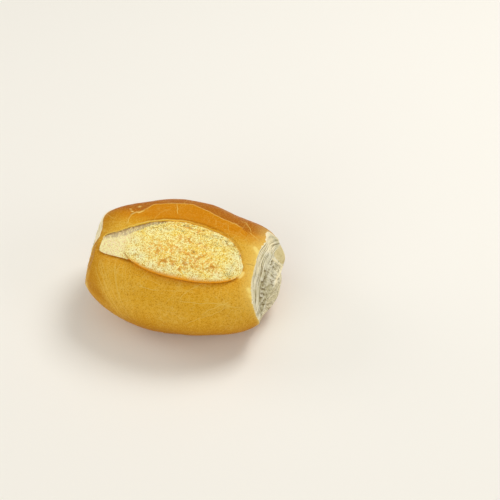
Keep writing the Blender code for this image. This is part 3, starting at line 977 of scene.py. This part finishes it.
def tear_lanes(y, z, rim):
    """Places on a torn face: mm along it and across it from the rim's middle, and the share of
    the way across, from the rim's upper front (0) to its lower back (1)."""
    middle = rim.mean(axis=0)
    cosine, sine = math.cos(TEAR_ANGLE), math.sin(TEAR_ANGLE)
    (run, aside), (rim_run, rim_aside) = (
        (a * cosine + b * sine, b * cosine - a * sine)
        for a, b in ((y - middle[1], z - middle[2]), (rim - middle)[:, 1:].T))
    limits = []
    for half in (rim_aside > 0.0, rim_aside <= 0.0):
        order = np.argsort(rim_run[half])
        limits.append(np.interp(run, rim_run[half][order], rim_aside[half][order]))
    lane = (limits[0] - aside) / np.maximum(limits[0] - limits[1], 0.004)
    return run / MM, aside / MM, lane


FACE_SHARE = 0.96             # share of a torn face's grid that lies open; the rest turns in
HEM_DEPTH = 0.0030            # how far it turns in, in metres


def square_to_disc(square):
    """Places in a unit square, as radius and angle in a disc, evenly spread."""
    a, b = square[:, 0], square[:, 1]
    wide = np.abs(a) >= np.abs(b)
    radius = np.maximum(np.abs(a), np.abs(b))
    safe_a = np.where(np.abs(a) < 1e-9, 1e-9, a)
    safe_b = np.where(np.abs(b) < 1e-9, 1e-9, b)
    angle_wide = 0.25 * np.pi * b / safe_a + np.where(a < 0.0, np.pi, 0.0)
    angle_tall = 0.5 * np.pi - 0.25 * np.pi * a / safe_b + np.where(b < 0.0, np.pi, 0.0)
    return radius, np.where(wide, angle_wide, angle_tall)


def make_torn_crumb(sizes, side):
    """A torn end's crumb: stretched fibres in front, pores below, and a thin ragged rim."""
    deselect_all()
    bpy.ops.mesh.primitive_grid_add(
        x_subdivisions=sizes.torn_grid, y_subdivisions=sizes.torn_grid, size=2.0)
    face = bpy.context.object
    radius, angle = square_to_disc(read_points(face))
    rim = rim_samples(side)
    period = 2.0 * np.pi
    angle = angle % period
    rim_angle = np.linspace(0.0, period, len(rim), endpoint=False)
    rim_y = np.interp(angle, rim_angle, rim[:, 1], period=period)
    rim_z = np.interp(angle, rim_angle, rim[:, 2], period=period)
    middle = rim.mean(axis=0)
    share = np.clip(radius / FACE_SHARE, 0.0, 1.0)
    round_place = np.stack((np.cos(angle), np.sin(angle), radius * 0.0), axis=1)
    rag = layered_noise(round_place, 0.45, 101 + side, 5, 0.65) * smooth_step(0.6, 1.0, share)
    low_back = smooth_step(3.6, 4.2, angle) * smooth_step(5.9, 5.5, angle)
    rag = 1.0 + (0.018 + 0.020 * low_back if side > 0 else 0.026) * rag
    reach = share * patch_share(angle, side) * rag
    y = middle[1] + (rim_y - middle[1]) * reach
    z = middle[2] + (rim_z - middle[2]) * reach
    points = np.stack((np.zeros(len(y)), y, z), axis=1)
    points[:, 0] = CORE[0] + side * torn_face(points, side)

    rim_gap = np.hypot(rim_y - middle[1], rim_z - middle[2])
    rim_gap *= 1.0 - share * patch_share(angle, side)
    run, aside, lane = tear_lanes(y, z, rim)
    far_end = smooth_step(24.0, 17.0, run)
    arch = z + STRAND_ARCH / MM * (y - 0.0015) ** 2 + 0.0005 * layered_noise(points, 0.012, 71, 2)
    strands = layered_noise(np.stack((arch, 0.035 * y, 0.0 * y), axis=1), 0.00055, 73 + side, 2, 0.6)
    strands = 1.3 * strands * (0.4 + 0.6 * far_end)
    limit = np.interp(run, STRAND_PLACES, STRAND_SHARES)
    stretched = smooth_step(0.04, -0.03, lane - limit)
    pit_row = np.exp(-((lane - limit) / 0.035) ** 2) * smooth_step(9.0, 6.0, run)
    curl_place = chart_place(-0.4 * aside, run)
    curl_place += 0.0011 * np.stack(
        [wave_noise(points, 0.0045, seed) for seed in (103, 105, 107)], axis=1)
    curls = layered_noise(curl_place, 0.0017, 109 + side, 2, 0.8)
    bent_place = points * (0.3, 1.0, 0.8) + 0.0006 * np.stack(
        [layered_noise(points, 0.0022, seed, 2) for seed in (81, 85, 87)], axis=1)
    near_small = cell_noise(bent_place, 0.0019, 79 + side)
    near_large = cell_noise(bent_place, 0.0037, 93 + side)
    many = smooth_step(-0.3, 0.4, layered_noise(points, 0.009, 77, 2))
    pores = np.maximum(0.6 * smooth_step(0.40, 0.12, near_small) * many,
                       smooth_step(0.34, 0.14, near_large))
    pores = np.maximum(pores, 0.6 * smooth_step(0.42, 0.20, near_small) * pit_row)
    porous = (1.0 - 0.9 * stretched) * smooth_step(
        -0.6, 0.2, layered_noise(points, 0.012, 83 + side, 2) + (0.038 - z) / 0.02)
    holes = pores * np.maximum(porous, pit_row)
    inner = smooth_step(1.0, 0.94, share)
    skin = np.zeros(len(y))
    crest = np.zeros(len(y))
    tan = np.zeros(len(y))
    if side > 0:
        for pit_run, pit_aside in TEAR_PITS:
            gap = np.hypot((run - pit_run) / 0.7, (aside - pit_aside) / 1.5)
            holes = np.maximum(holes, smooth_step(1.2, 0.4, gap))
        low = run - np.interp(aside, SKIN_ACROSS, SKIN_LOW)
        high = np.interp(aside, SKIN_ACROSS, SKIN_HIGH) - run
        skin_gap = np.minimum(np.minimum(low, high), CREST_SHARE * (SKIN_ACROSS[-1] + 0.8 - aside))
        skin = smooth_step(-0.3, 0.4, skin_gap + 0.5 * layered_noise(points, 0.005, 99, 3))
        narrowed = (1.0, CREST_SHARE)
        shake = 0.25 * layered_noise(points, 0.004, 111, 2)
        crest_gap = line_distance(run, CREST_SHARE * aside, np.array(TEAR_CREST) * narrowed) + shake
        crest = np.exp(-(crest_gap / 0.6) ** 2)
        tan = smooth_step(0.44, 0.58, lane) * smooth_step(11.0, 7.0, run)
        cream = smooth_step(0.26, 0.08, lane) * (0.5 + 0.5 * smooth_step(2.0, 9.0, run))
        cream = np.maximum(cream, 1.1 * smooth_step(15.5, 19.0, run) * smooth_step(0.75, 0.55, lane))
    else:
        # At the left the cream by the rim is strong: partly creamy crumb, partly painted light on the
        # sliver that shows.
        cream = 1.6 * smooth_step(0.014, 0.008, rim_gap)
    relief = sizes.fibre_depth / MM * (0.5 * strands * stretched + 0.6 * curls * (1.0 - stretched))
    relief += 0.6 * layered_noise(points, 0.010, 89 + side, 2) - 0.45 * holes
    relief = relief * (1.0 - 0.85 * skin) + 0.6 * crest
    if side < 0:
        standing = smooth_step(0.0, 0.0025, rim_gap) * np.exp(-(rim_gap / 0.009) ** 2)
        turned = np.degrees(angle)
        standing *= smooth_step(10.0, 40.0, turned) * smooth_step(120.0, 95.0, turned)
        relief = relief * (0.4 + 0.6 * smooth_step(0.004, 0.010, rim_gap)) + 0.5 * standing
    points[:, 0] += side * relief * MM * inner
    hem = np.clip((radius - FACE_SHARE) / (1.0 - FACE_SHARE), 0.0, 1.0)
    outward = np.stack((np.zeros(len(y)), np.cos(angle), np.sin(angle)), axis=1)
    wave = layered_noise(points, 0.004, 97, 3, 0.6) * (0.35 + 0.65 * low_back)
    top_flap = 1.1 * np.exp(-((np.degrees(angle) - 42.0) / 8.0) ** 2) * (side > 0)
    flare = (0.30 + 0.75 * wave + top_flap) * MM * np.sin(np.pi * hem)
    points += outward * flare[:, None]
    points[:, 0] -= side * (HEM_DEPTH + 0.0008 * wave) * hem
    write_points(face, points)
    outline = smooth_step(0.1, 0.5, np.cos(angle + 0.2))
    # Painted shade: a broad darker band beside the strands, darkened with the holes.
    shaded = 0.20 * np.exp(-((lane - limit - 0.06) / 0.16) ** 2) * smooth_step(11.0, 5.0, run)
    shaded *= side > 0
    holes = np.clip(0.85 * holes + 0.2 * pit_row + shaded, 0.0, 1.0) * (1.0 - skin)
    fibres = strands * stretched + 0.8 * curls * (1.0 - stretched)
    store(face, holes=holes, fibres=fibres * (1.0 if side > 0 else 0.45),
          rim=share * (1.0 + 0.02 * outline) if side > 0 else 0.75 + 0.25 * share,
          loose=1.0 - 0.7 * stretched if side > 0 else 0.7 - 0.4 * cream,
          skin=skin, tan=tan, cream=cream, crest=crest)
    close_behind(face, (-TORN_DEPTH * side, 0.0, 0.0))
    face_outwards(face)
    return face


# ---------------------------------------------------------------- materials

MIX = {"data_type": "RGBA"}
SMOOTH = {"interpolation_type": "SMOOTHSTEP"}
MULTIPLY = {"operation": "MULTIPLY"}
MULTIPLY_ADD = {"operation": "MULTIPLY_ADD"}
MAXIMUM = {"operation": "MAXIMUM"}
SUBTRACT = {"operation": "SUBTRACT"}
ABSOLUTE = {"operation": "ABSOLUTE"}
USUAL_OUTPUT = {"ShaderNodeMix": 2, "ShaderNodeAttribute": "Fac", "ShaderNodeTexCoord": "Object"}

# Pattern scales, as repeats in a metre, with the size of one repeat
CRUST_CLOUDS = 45.0           # 22 mm, lighter and darker places
CRUST_MOTTLE = 330.0          # 3 mm, pale and dull flecks
CRUST_GRAIN = 1400.0          # 0.7 mm, coarser than the real grain, so that it shows
CRUST_STREAKS = 900.0         # 1.1 mm, pale streaks of the left end
CRUST_CRAZE = 210.0           # 5 mm, between hairline cracks
CRAZE_BEND = 90.0             # 11 mm, bends of the hairlines
SLASH_CLOUDS = 150.0          # 7 mm, pale places
SLASH_CRUMBS = 620.0          # 1.6 mm, single crumbs
SLASH_GRAIN = 1500.0          # 0.7 mm, specks between the crumbs
TORN_CLOUDS = 170.0           # 6 mm, pale places
TORN_CRUMBS = 480.0           # 2 mm, pores and loose crumbs
# The torn crumb's fine noise also gives its small painted glints.
TORN_GRAIN = 1100.0           # 0.9 mm, fine fluff


def linear(colour):
    """An sRGB hex value as linear red, green, blue and alpha."""
    channels = [int(colour[start:start + 2], 16) / 255.0 for start in (1, 3, 5)]
    parts = [c / 12.92 if c <= 0.04045 else ((c + 0.055) / 1.055) ** 2.4 for c in channels]
    return (*parts, 1.0)


def add_node(tree, kind, settings=None, inputs=None, links=None):
    """Add a node, set its properties and inputs, and link inputs from other nodes.

    A link starts at a node's usual output, or is a (node, output) pair.
    """
    node = tree.nodes.new("ShaderNode" + kind)
    for name, value in (settings or {}).items():
        setattr(node, name, value)
    for name, value in (inputs or {}).items():
        node.inputs[name].default_value = value
    for name, source in (links or {}).items():
        if not isinstance(source, tuple):
            source = (source, USUAL_OUTPUT.get(source.bl_idname, 0))
        tree.links.new(source[0].outputs[source[1]], node.inputs[name])
    return node


def new_material(name, roughness, specular):
    """A material with a Principled shader, and its tree and shader."""
    material = bpy.data.materials.new(name)
    material.use_nodes = True
    tree = material.node_tree
    shader = tree.nodes["Principled BSDF"]
    shader.inputs["Roughness"].default_value = roughness
    shader.inputs["Specular IOR Level"].default_value = specular
    shader.inputs["IOR"].default_value = 1.45
    return material, tree, shader


def crust_finish(colours):
    """Baked crust: thin starch gloss, golden to brown, with hairline cracks as it cooled."""
    material, tree, shader = new_material("baked_crust", 0.42, 0.03)
    shader.inputs["Specular Tint"].default_value = (1.0, 0.82, 0.5, 1.0)
    place = add_node(tree, "TexCoord")
    mask = {name: add_node(tree, "Attribute", {"attribute_name": name})
            for name in ("deep", "dull", "rust", "pale", "seam", "inside_slash", "streak",
                         "streak_share", "crack_side", "crack_gap", "crack_share")}
    clouds, mottle, grain = (
        add_node(tree, "TexNoise", None, {"Scale": scale, "Detail": detail, "Roughness": roughness},
                 {"Vector": place})
        for scale, detail, roughness in ((CRUST_CLOUDS, 4.0, 0.55), (CRUST_MOTTLE, 5.0, 0.65),
                                         (CRUST_GRAIN, 3.0, 0.6)))
    streaks = add_node(tree, "TexNoise", {"noise_dimensions": "1D"},
                       {"Scale": CRUST_STREAKS, "Detail": 2.0}, {"W": mask["streak"]})
    bend = add_node(tree, "TexNoise", None, {"Scale": CRAZE_BEND, "Detail": 2.0}, {"Vector": place})
    bent = add_node(tree, "VectorMath", MULTIPLY_ADD, {1: (0.010, 0.010, 0.010)},
                    {0: (bend, "Color"), 2: place})
    craze = add_node(tree, "TexVoronoi", {"feature": "DISTANCE_TO_EDGE"}, {"Scale": CRUST_CRAZE},
                     {"Vector": bent})
    beside_crack = add_node(tree, "Math", ABSOLUTE, None, {0: mask["crack_side"]})
    # Crust made browner, or darkened by painted shade, shows fewer pale flecks and grains.
    darkened = add_node(tree, "Math", MAXIMUM, None, {0: mask["deep"], 1: mask["dull"]})
    darkened = add_node(tree, "Math", MAXIMUM, None, {0: darkened, 1: mask["rust"]})
    for name, source, *ends in (
            ("light_clouds", clouds, 0.35, 0.65, 0.0, 0.35),
            ("pale_flecks", mottle, 0.50, 0.70, 0.0, 2.0),
            ("few", darkened, 0.0, 0.8, 0.17, 0.03),
            ("dull_flecks", mottle, 0.47, 0.28, 0.0, 0.50),
            ("light_grain", grain, 0.51, 0.61, 0.0, 0.65),
            ("dull_grain", grain, 0.47, 0.37, 0.0, 0.60),
            ("calm", darkened, 0.2, 0.9, 1.0, 0.55),
            ("streaks", streaks, 0.55, 0.68, 0.0, 0.55),
            ("cracks", beside_crack, 0.34, 0.08, 0.0, 1.0),
            ("near_crack", mask["crack_gap"], 1.6, 0.9, 0.0, 1.0),
            ("hairlines", craze, 0.06, 0.01, 0.0, 1.0),
            ("crazed", clouds, 0.46, 0.62, 0.0, 0.30),
            ("roughness", mottle, 0.3, 0.7, 0.34, 0.52)):
        mask[name] = add_node(tree, "MapRange", SMOOTH, dict(enumerate(ends, 1)), {0: source})
    for name, limit in (("pale_flecks", "few"), ("light_grain", "calm"), ("dull_grain", "calm"),
                        ("streaks", "streak_share"), ("cracks", "near_crack"),
                        ("cracks", "crack_share"), ("hairlines", "crazed")):
        mask[name] = add_node(tree, "Math", MULTIPLY, None, {0: mask[name], 1: mask[limit]})
    lines = add_node(tree, "Math", MAXIMUM, None, {0: mask["cracks"], 1: mask["hairlines"]})
    lines = add_node(tree, "Math", MAXIMUM, None, {0: lines, 1: mask["streaks"]})
    mask["lines"] = lines
    tone = add_node(tree, "Mix", MIX, {6: linear(colours.crust), 7: linear(colours.crust_light)},
                    {0: mask["light_clouds"]})
    # The deep, dull and seam colours also paint shade beside the slash, low down, at the left end and
    # at the low right; the pale colour also paints a highlight along the back lip.
    for name, colour in (
            ("deep", colours.crust_deep), ("dull", colours.crust_dull_and_shade), ("rust", colours.crust_rust),
            ("pale_flecks", colours.crack), ("dull_flecks", colours.crust_dull_and_shade),
            ("light_grain", colours.crust_light), ("dull_grain", colours.crust_dull_and_shade),
            ("seam", colours.crust_seam), ("pale", colours.halo), ("lines", colours.crack),
            ("inside_slash", colours.crumb)):
        tone = add_node(tree, "Mix", MIX, {7: linear(colour)}, {0: mask[name], 6: tone})
    pucker = add_node(tree, "Math", MULTIPLY_ADD, {1: 0.35}, {0: grain, 2: mottle})
    relief = add_node(tree, "Math", MULTIPLY_ADD, {1: 0.8}, {0: lines, 2: pucker})
    link_surface(tree, shader, tone, mask["roughness"], relief, 0.45, 0.0003)
    return material


def link_surface(tree, shader, tone, roughness, relief, strength, depth):
    """Give a shader its colour, its roughness and bumps of a depth in metres."""
    bump = add_node(tree, "Bump", None, {"Strength": strength, "Distance": depth}, {"Height": relief})
    tree.links.new(tone.outputs[2], shader.inputs["Base Color"])
    tree.links.new(roughness.outputs["Result"], shader.inputs["Roughness"])
    tree.links.new(bump.outputs["Normal"], shader.inputs["Normal"])


def slash_crumb_finish(colours):
    """Slash crumb: dried, floury dough skin, pale with toasted spots, and shade painted into its
    little holes.
    """
    material, tree, shader = new_material("dried_slash_crumb", 0.85, 0.15)
    place = add_node(tree, "TexCoord")
    mask = {name: add_node(tree, "Attribute", {"attribute_name": name})
            for name in ("toasted", "white", "scorched", "grain", "holes", "hollow", "wing", "rim")}
    clouds, crumbs, specks = (
        add_node(tree, "TexNoise", None, {"Scale": scale, "Detail": detail, "Roughness": roughness},
                 {"Vector": place})
        for scale, detail, roughness in ((SLASH_CLOUDS, 4.0, 0.6), (SLASH_CRUMBS, 3.0, 0.65),
                                         (SLASH_GRAIN, 3.0, 0.6)))
    for name, source, *ends in (
            ("pale", clouds, 0.40, 0.66, 0.0, 0.55),
            ("pink", crumbs, 0.47, 0.60, 0.0, 0.9),
            # Painted light and shade: the grain's low places are darkened and its high places paled,
            # as their relief would be lit.
            ("low", mask["grain"], 0.00, -0.95, 0.0, 0.75),
            ("high", mask["grain"], 0.10, 0.85, 0.0, 0.85),
            ("bright", specks, 0.51, 0.60, 0.0, 0.9),
            ("darkened", crumbs, 0.43, 0.57, 0.05, 1.2),
            ("brownest", crumbs, 0.53, 0.66, 0.0, 0.8),
            ("specks", specks, 0.47, 0.36, 0.0, 1.0),
            ("dust", crumbs, 0.46, 0.34, 0.0, 0.6),
            ("roughness", specks, 0.3, 0.7, 0.78, 0.92)):
        mask[name] = add_node(tree, "MapRange", SMOOTH, dict(enumerate(ends, 1)), {0: source})
    mask["few"] = add_node(tree, "Math", SUBTRACT, {0: 1.15}, {1: mask["wing"]})
    mask["fewer"] = add_node(tree, "Math", SUBTRACT, {0: 1.6}, {1: mask["wing"]})
    for name, limit in (("low", "few"), ("specks", "fewer"), ("darkened", "toasted"),
                        ("brownest", "toasted")):
        mask[name] = add_node(tree, "Math", MULTIPLY, None, {0: mask[name], 1: mask[limit]})
    for name, share in (("hollow", 0.8), ("holes", 0.75)):
        mask[name] = add_node(tree, "Math", MULTIPLY, {1: share}, {0: mask[name]})
    tone = add_node(tree, "Mix", MIX, {6: linear(colours.crumb), 7: linear(colours.crumb_pale_and_lit)},
                    {0: mask["pale"]})
    tone = add_node(tree, "Mix", MIX, {7: linear(colours.crumb_white)}, {0: mask["white"], 6: tone})
    wing = add_node(tree, "Mix", MIX, {6: linear(colours.crumb_wing), 7: linear(colours.wing_pink)},
                    {0: mask["pink"]})
    tone = add_node(tree, "Mix", MIX, None, {0: mask["wing"], 6: tone, 7: wing})
    # The scorch colour also paints shade in the crease, and the holes colour paints shade in the pits,
    # splits and under the back lip.
    for name, colour in (
            ("low", colours.crumb_shade), ("high", colours.crumb_pale_and_lit), ("bright", colours.crumb_pale_and_lit),
            ("darkened", colours.toast), ("brownest", colours.scorch), ("scorched", colours.scorch),
            ("specks", colours.crumb_shade), ("dust", colours.crumb_pale_and_lit), ("rim", colours.crumb_rim),
            ("hollow", colours.hollow), ("holes", colours.holes)):
        tone = add_node(tree, "Mix", MIX, {7: linear(colour)}, {0: mask[name], 6: tone})
    relief = add_node(tree, "Math", MULTIPLY_ADD, {1: 0.4}, {0: specks, 2: crumbs})
    link_surface(tree, shader, tone, mask["roughness"], relief, 0.9, 0.0007)
    return material


def torn_crumb_finish(colours):
    """Torn crumb: soft stretched gluten fibres and open pores, grey-white and matt."""
    material, tree, shader = new_material("torn_soft_crumb", 0.9, 0.1)
    place = add_node(tree, "TexCoord")
    mask = {name: add_node(tree, "Attribute", {"attribute_name": name})
            for name in ("rim", "holes", "fibres", "loose", "skin", "tan", "cream", "crest")}
    clouds, crumbs, fluff_and_glints = (
        add_node(tree, "TexNoise", None, {"Scale": scale, "Detail": detail, "Roughness": roughness},
                 {"Vector": place})
        for scale, detail, roughness in ((TORN_CLOUDS, 4.0, 0.5), (TORN_CRUMBS, 4.0, 0.7),
                                         (TORN_GRAIN, 3.0, 0.5)))
    for name, source, *ends in (
            ("pale", clouds, 0.40, 0.65, 0.0, 1.0),
            # Painted light and shade: grooves between the fibres are darkened and the strands paled,
            # following their relief.
            ("grooves", mask["fibres"], 0.15, -0.60, 0.0, 0.95),
            ("strands", mask["fibres"], 0.20, 0.8, 0.0, 0.7),
            ("pores", crumbs, 0.47, 0.33, 0.0, 0.7),
            # Painted highlights: small pale glints on the loose crumbs.
            ("fluff_and_glints", fluff_and_glints, 0.52, 0.64, 0.0, 0.8),
            ("edge", mask["rim"], 0.97, 1.0, 0.0, 0.6),
            ("roughness", fluff_and_glints, 0.3, 0.7, 0.82, 0.95)):
        mask[name] = add_node(tree, "MapRange", SMOOTH, dict(enumerate(ends, 1)), {0: source})
    for name in ("pores", "fluff_and_glints"):
        mask[name] = add_node(tree, "Math", MULTIPLY, None, {0: mask[name], 1: mask["loose"]})
    for name, share in (("cream", 0.7), ("tan", 0.30), ("holes", 0.85), ("skin", 0.8), ("crest", 0.8)):
        mask[name] = add_node(tree, "Math", MULTIPLY, {1: share}, {0: mask[name]})
    tone = add_node(tree, "Mix", MIX, {6: linear(colours.torn), 7: linear(colours.torn_pale_and_lit)},
                    {0: mask["pale"]})
    for name, colour in (
            ("cream", colours.torn_cream), ("grooves", colours.torn_dark_and_shade),
            ("strands", colours.torn_pale_and_lit), ("pores", colours.torn_dark_and_shade),
            ("fluff_and_glints", colours.torn_pale_and_lit), ("tan", colours.torn_cream),
            ("holes", colours.torn_dark_and_shade), ("skin", colours.torn_skin),
            ("edge", colours.torn_cream), ("crest", colours.torn_cream)):
        tone = add_node(tree, "Mix", MIX, {7: linear(colour)}, {0: mask[name], 6: tone})
    relief = add_node(tree, "Math", MULTIPLY_ADD, {1: 0.4}, {0: fluff_and_glints, 2: crumbs})
    link_surface(tree, shader, tone, mask["roughness"], relief, 0.8, 0.0006)
    return material


# ---------------------------------------------------------------- operators

class BREAD_OT_crust(bpy.types.Operator):
    """Model the crust with its lips round the slash"""

    bl_idname = "bread.crust"
    bl_label = "Crust"

    def execute(self, context):
        scene = context.scene
        finish_piece(make_crust(scene.bread_sizes), "crust", crust_finish(scene.bread_colours))
        return {"FINISHED"}


class BREAD_OT_slash_crumb(bpy.types.Operator):
    """Model the crumb that swells out of the slash"""

    bl_idname = "bread.slash_crumb"
    bl_label = "Slash crumb"

    def execute(self, context):
        scene = context.scene
        crumb = make_slash_crumb(scene.bread_sizes)
        finish_piece(crumb, "slash_crumb", slash_crumb_finish(scene.bread_colours))
        return {"FINISHED"}


class BREAD_OT_torn_ends(bpy.types.Operator):
    """Model the torn crumb faces at both ends"""

    bl_idname = "bread.torn_ends"
    bl_label = "Torn ends"

    def execute(self, context):
        scene = context.scene
        material = torn_crumb_finish(scene.bread_colours)
        for side, name in ((1, "torn_crumb_right"), (-1, "torn_crumb_left")):
            finish_piece(make_torn_crumb(scene.bread_sizes, side), name, material)
        return {"FINISHED"}


# The photo's viewpoint: turned round from the front, and looking down
VIEW_TURN = math.radians(12.0)
VIEW_DOWN = math.radians(46.3)
FOCAL_PIXELS = 1300.0
PICTURE_PIXELS = 500.0
SENSOR_MM = 36.0
VIEW_DISTANCE = 0.7956
AIM_POINT = CORE + (0.0, 0.0, 0.0007)
AIM_PIXEL = (186.92, 268.83)
FLOOR_SIZE = 30.0
# Soft lights: name, place, size and power
LIGHTS = (
    ("key", (0.35, 0.45, 0.9), 0.42, 5.15), ("fill", (-0.35, -0.95, 0.6), 0.9, 4.1),
    ("side", (0.9, -0.2, 0.5), 0.5, 1.2), ("left", (-0.9, 0.1, 0.5), 0.5, 1.8),
)


class BREAD_OT_stage(bpy.types.Operator):
    """Set the pale floor, the soft studio lights and the camera"""

    bl_idname = "bread.stage"
    bl_label = "Stage"

    def execute(self, context):
        deselect_all()
        bpy.ops.mesh.primitive_plane_add(size=FLOOR_SIZE, location=(0.0, 0.0, 0.0))
        floor = bpy.context.object
        floor.name = "floor"
        material, _, shader = new_material("pale_floor", 0.9, 0.1)
        shader.inputs["Base Color"].default_value = linear("#F4F0E6")
        floor.data.materials.append(material)

        world = bpy.data.worlds.new("studio")
        world.use_nodes = True
        backdrop = world.node_tree.nodes["Background"]
        backdrop.inputs["Color"].default_value = (1.0, 0.99, 0.97, 1.0)
        backdrop.inputs["Strength"].default_value = 0.40
        context.scene.world = world
        for name, place, size, power in LIGHTS:
            bpy.ops.object.light_add(type="AREA", location=place)
            light = bpy.context.object
            light.name = name
            light.data.size = size
            light.data.energy = power
            aim = -np.array(place) + (0.0, 0.0, 0.03)
            light.rotation_euler = direction_angles(aim)
        level = math.cos(VIEW_DOWN)
        forward = np.array((-math.sin(VIEW_TURN) * level, math.cos(VIEW_TURN) * level,
                            -math.sin(VIEW_DOWN)))
        right = np.array((math.cos(VIEW_TURN), math.sin(VIEW_TURN), 0.0))
        up = np.cross(right, forward)
        across = (AIM_PIXEL[0] - PICTURE_PIXELS / 2.0) / FOCAL_PIXELS * VIEW_DISTANCE
        above = (PICTURE_PIXELS / 2.0 - AIM_PIXEL[1]) / FOCAL_PIXELS * VIEW_DISTANCE
        place = AIM_POINT - forward * VIEW_DISTANCE - right * across - up * above
        bpy.ops.object.camera_add(location=place)
        camera = bpy.context.object
        camera.name = "camera"
        camera.rotation_euler = (math.pi / 2.0 - VIEW_DOWN, 0.0, VIEW_TURN)
        camera.data.sensor_width = SENSOR_MM
        camera.data.lens = SENSOR_MM * FOCAL_PIXELS / PICTURE_PIXELS
        camera.data.clip_start = 0.01
        context.scene.camera = camera
        context.scene.view_settings.view_transform = "Standard"
        return {"FINISHED"}


def direction_angles(direction):
    """Rotation that turns a light, which shines down its own -Z, along a direction."""
    x, y, z = direction
    return (math.atan2(math.hypot(x, y), -z), 0.0, math.atan2(y, x) - math.pi / 2.0)


class BREAD_PT_panel(bpy.types.Panel):
    """Sizes, colours and steps of the bread roll"""

    bl_idname = "BREAD_PT_panel"
    bl_label = "Bread Roll"
    bl_space_type = "VIEW_3D"
    bl_region_type = "UI"
    bl_category = "Bread Roll"

    def draw(self, context):
        for group in (context.scene.bread_sizes, context.scene.bread_colours):
            for name in group.__annotations__:
                self.layout.prop(group, name)
        for operator in OPERATORS:
            self.layout.operator(operator.bl_idname)


OPERATORS = (BREAD_OT_crust, BREAD_OT_slash_crumb, BREAD_OT_torn_ends, BREAD_OT_stage)
CLASSES = (BreadSizes, BreadColours, *OPERATORS, BREAD_PT_panel)


def register():
    """Add the add-on's classes and settings."""
    for cls in CLASSES:
        bpy.utils.register_class(cls)
    bpy.types.Scene.bread_sizes = PointerProperty(type=BreadSizes)
    bpy.types.Scene.bread_colours = PointerProperty(type=BreadColours)


def unregister():
    """Take the add-on's classes and settings away again."""
    del bpy.types.Scene.bread_colours
    del bpy.types.Scene.bread_sizes
    for cls in reversed(CLASSES):
        bpy.utils.unregister_class(cls)


def main():
    """Build the roll and the stage."""
    register()
    bpy.ops.bread.crust()
    bpy.ops.bread.slash_crumb()
    bpy.ops.bread.torn_ends()
    bpy.ops.bread.stage()


if __name__ == "__main__":
    main()
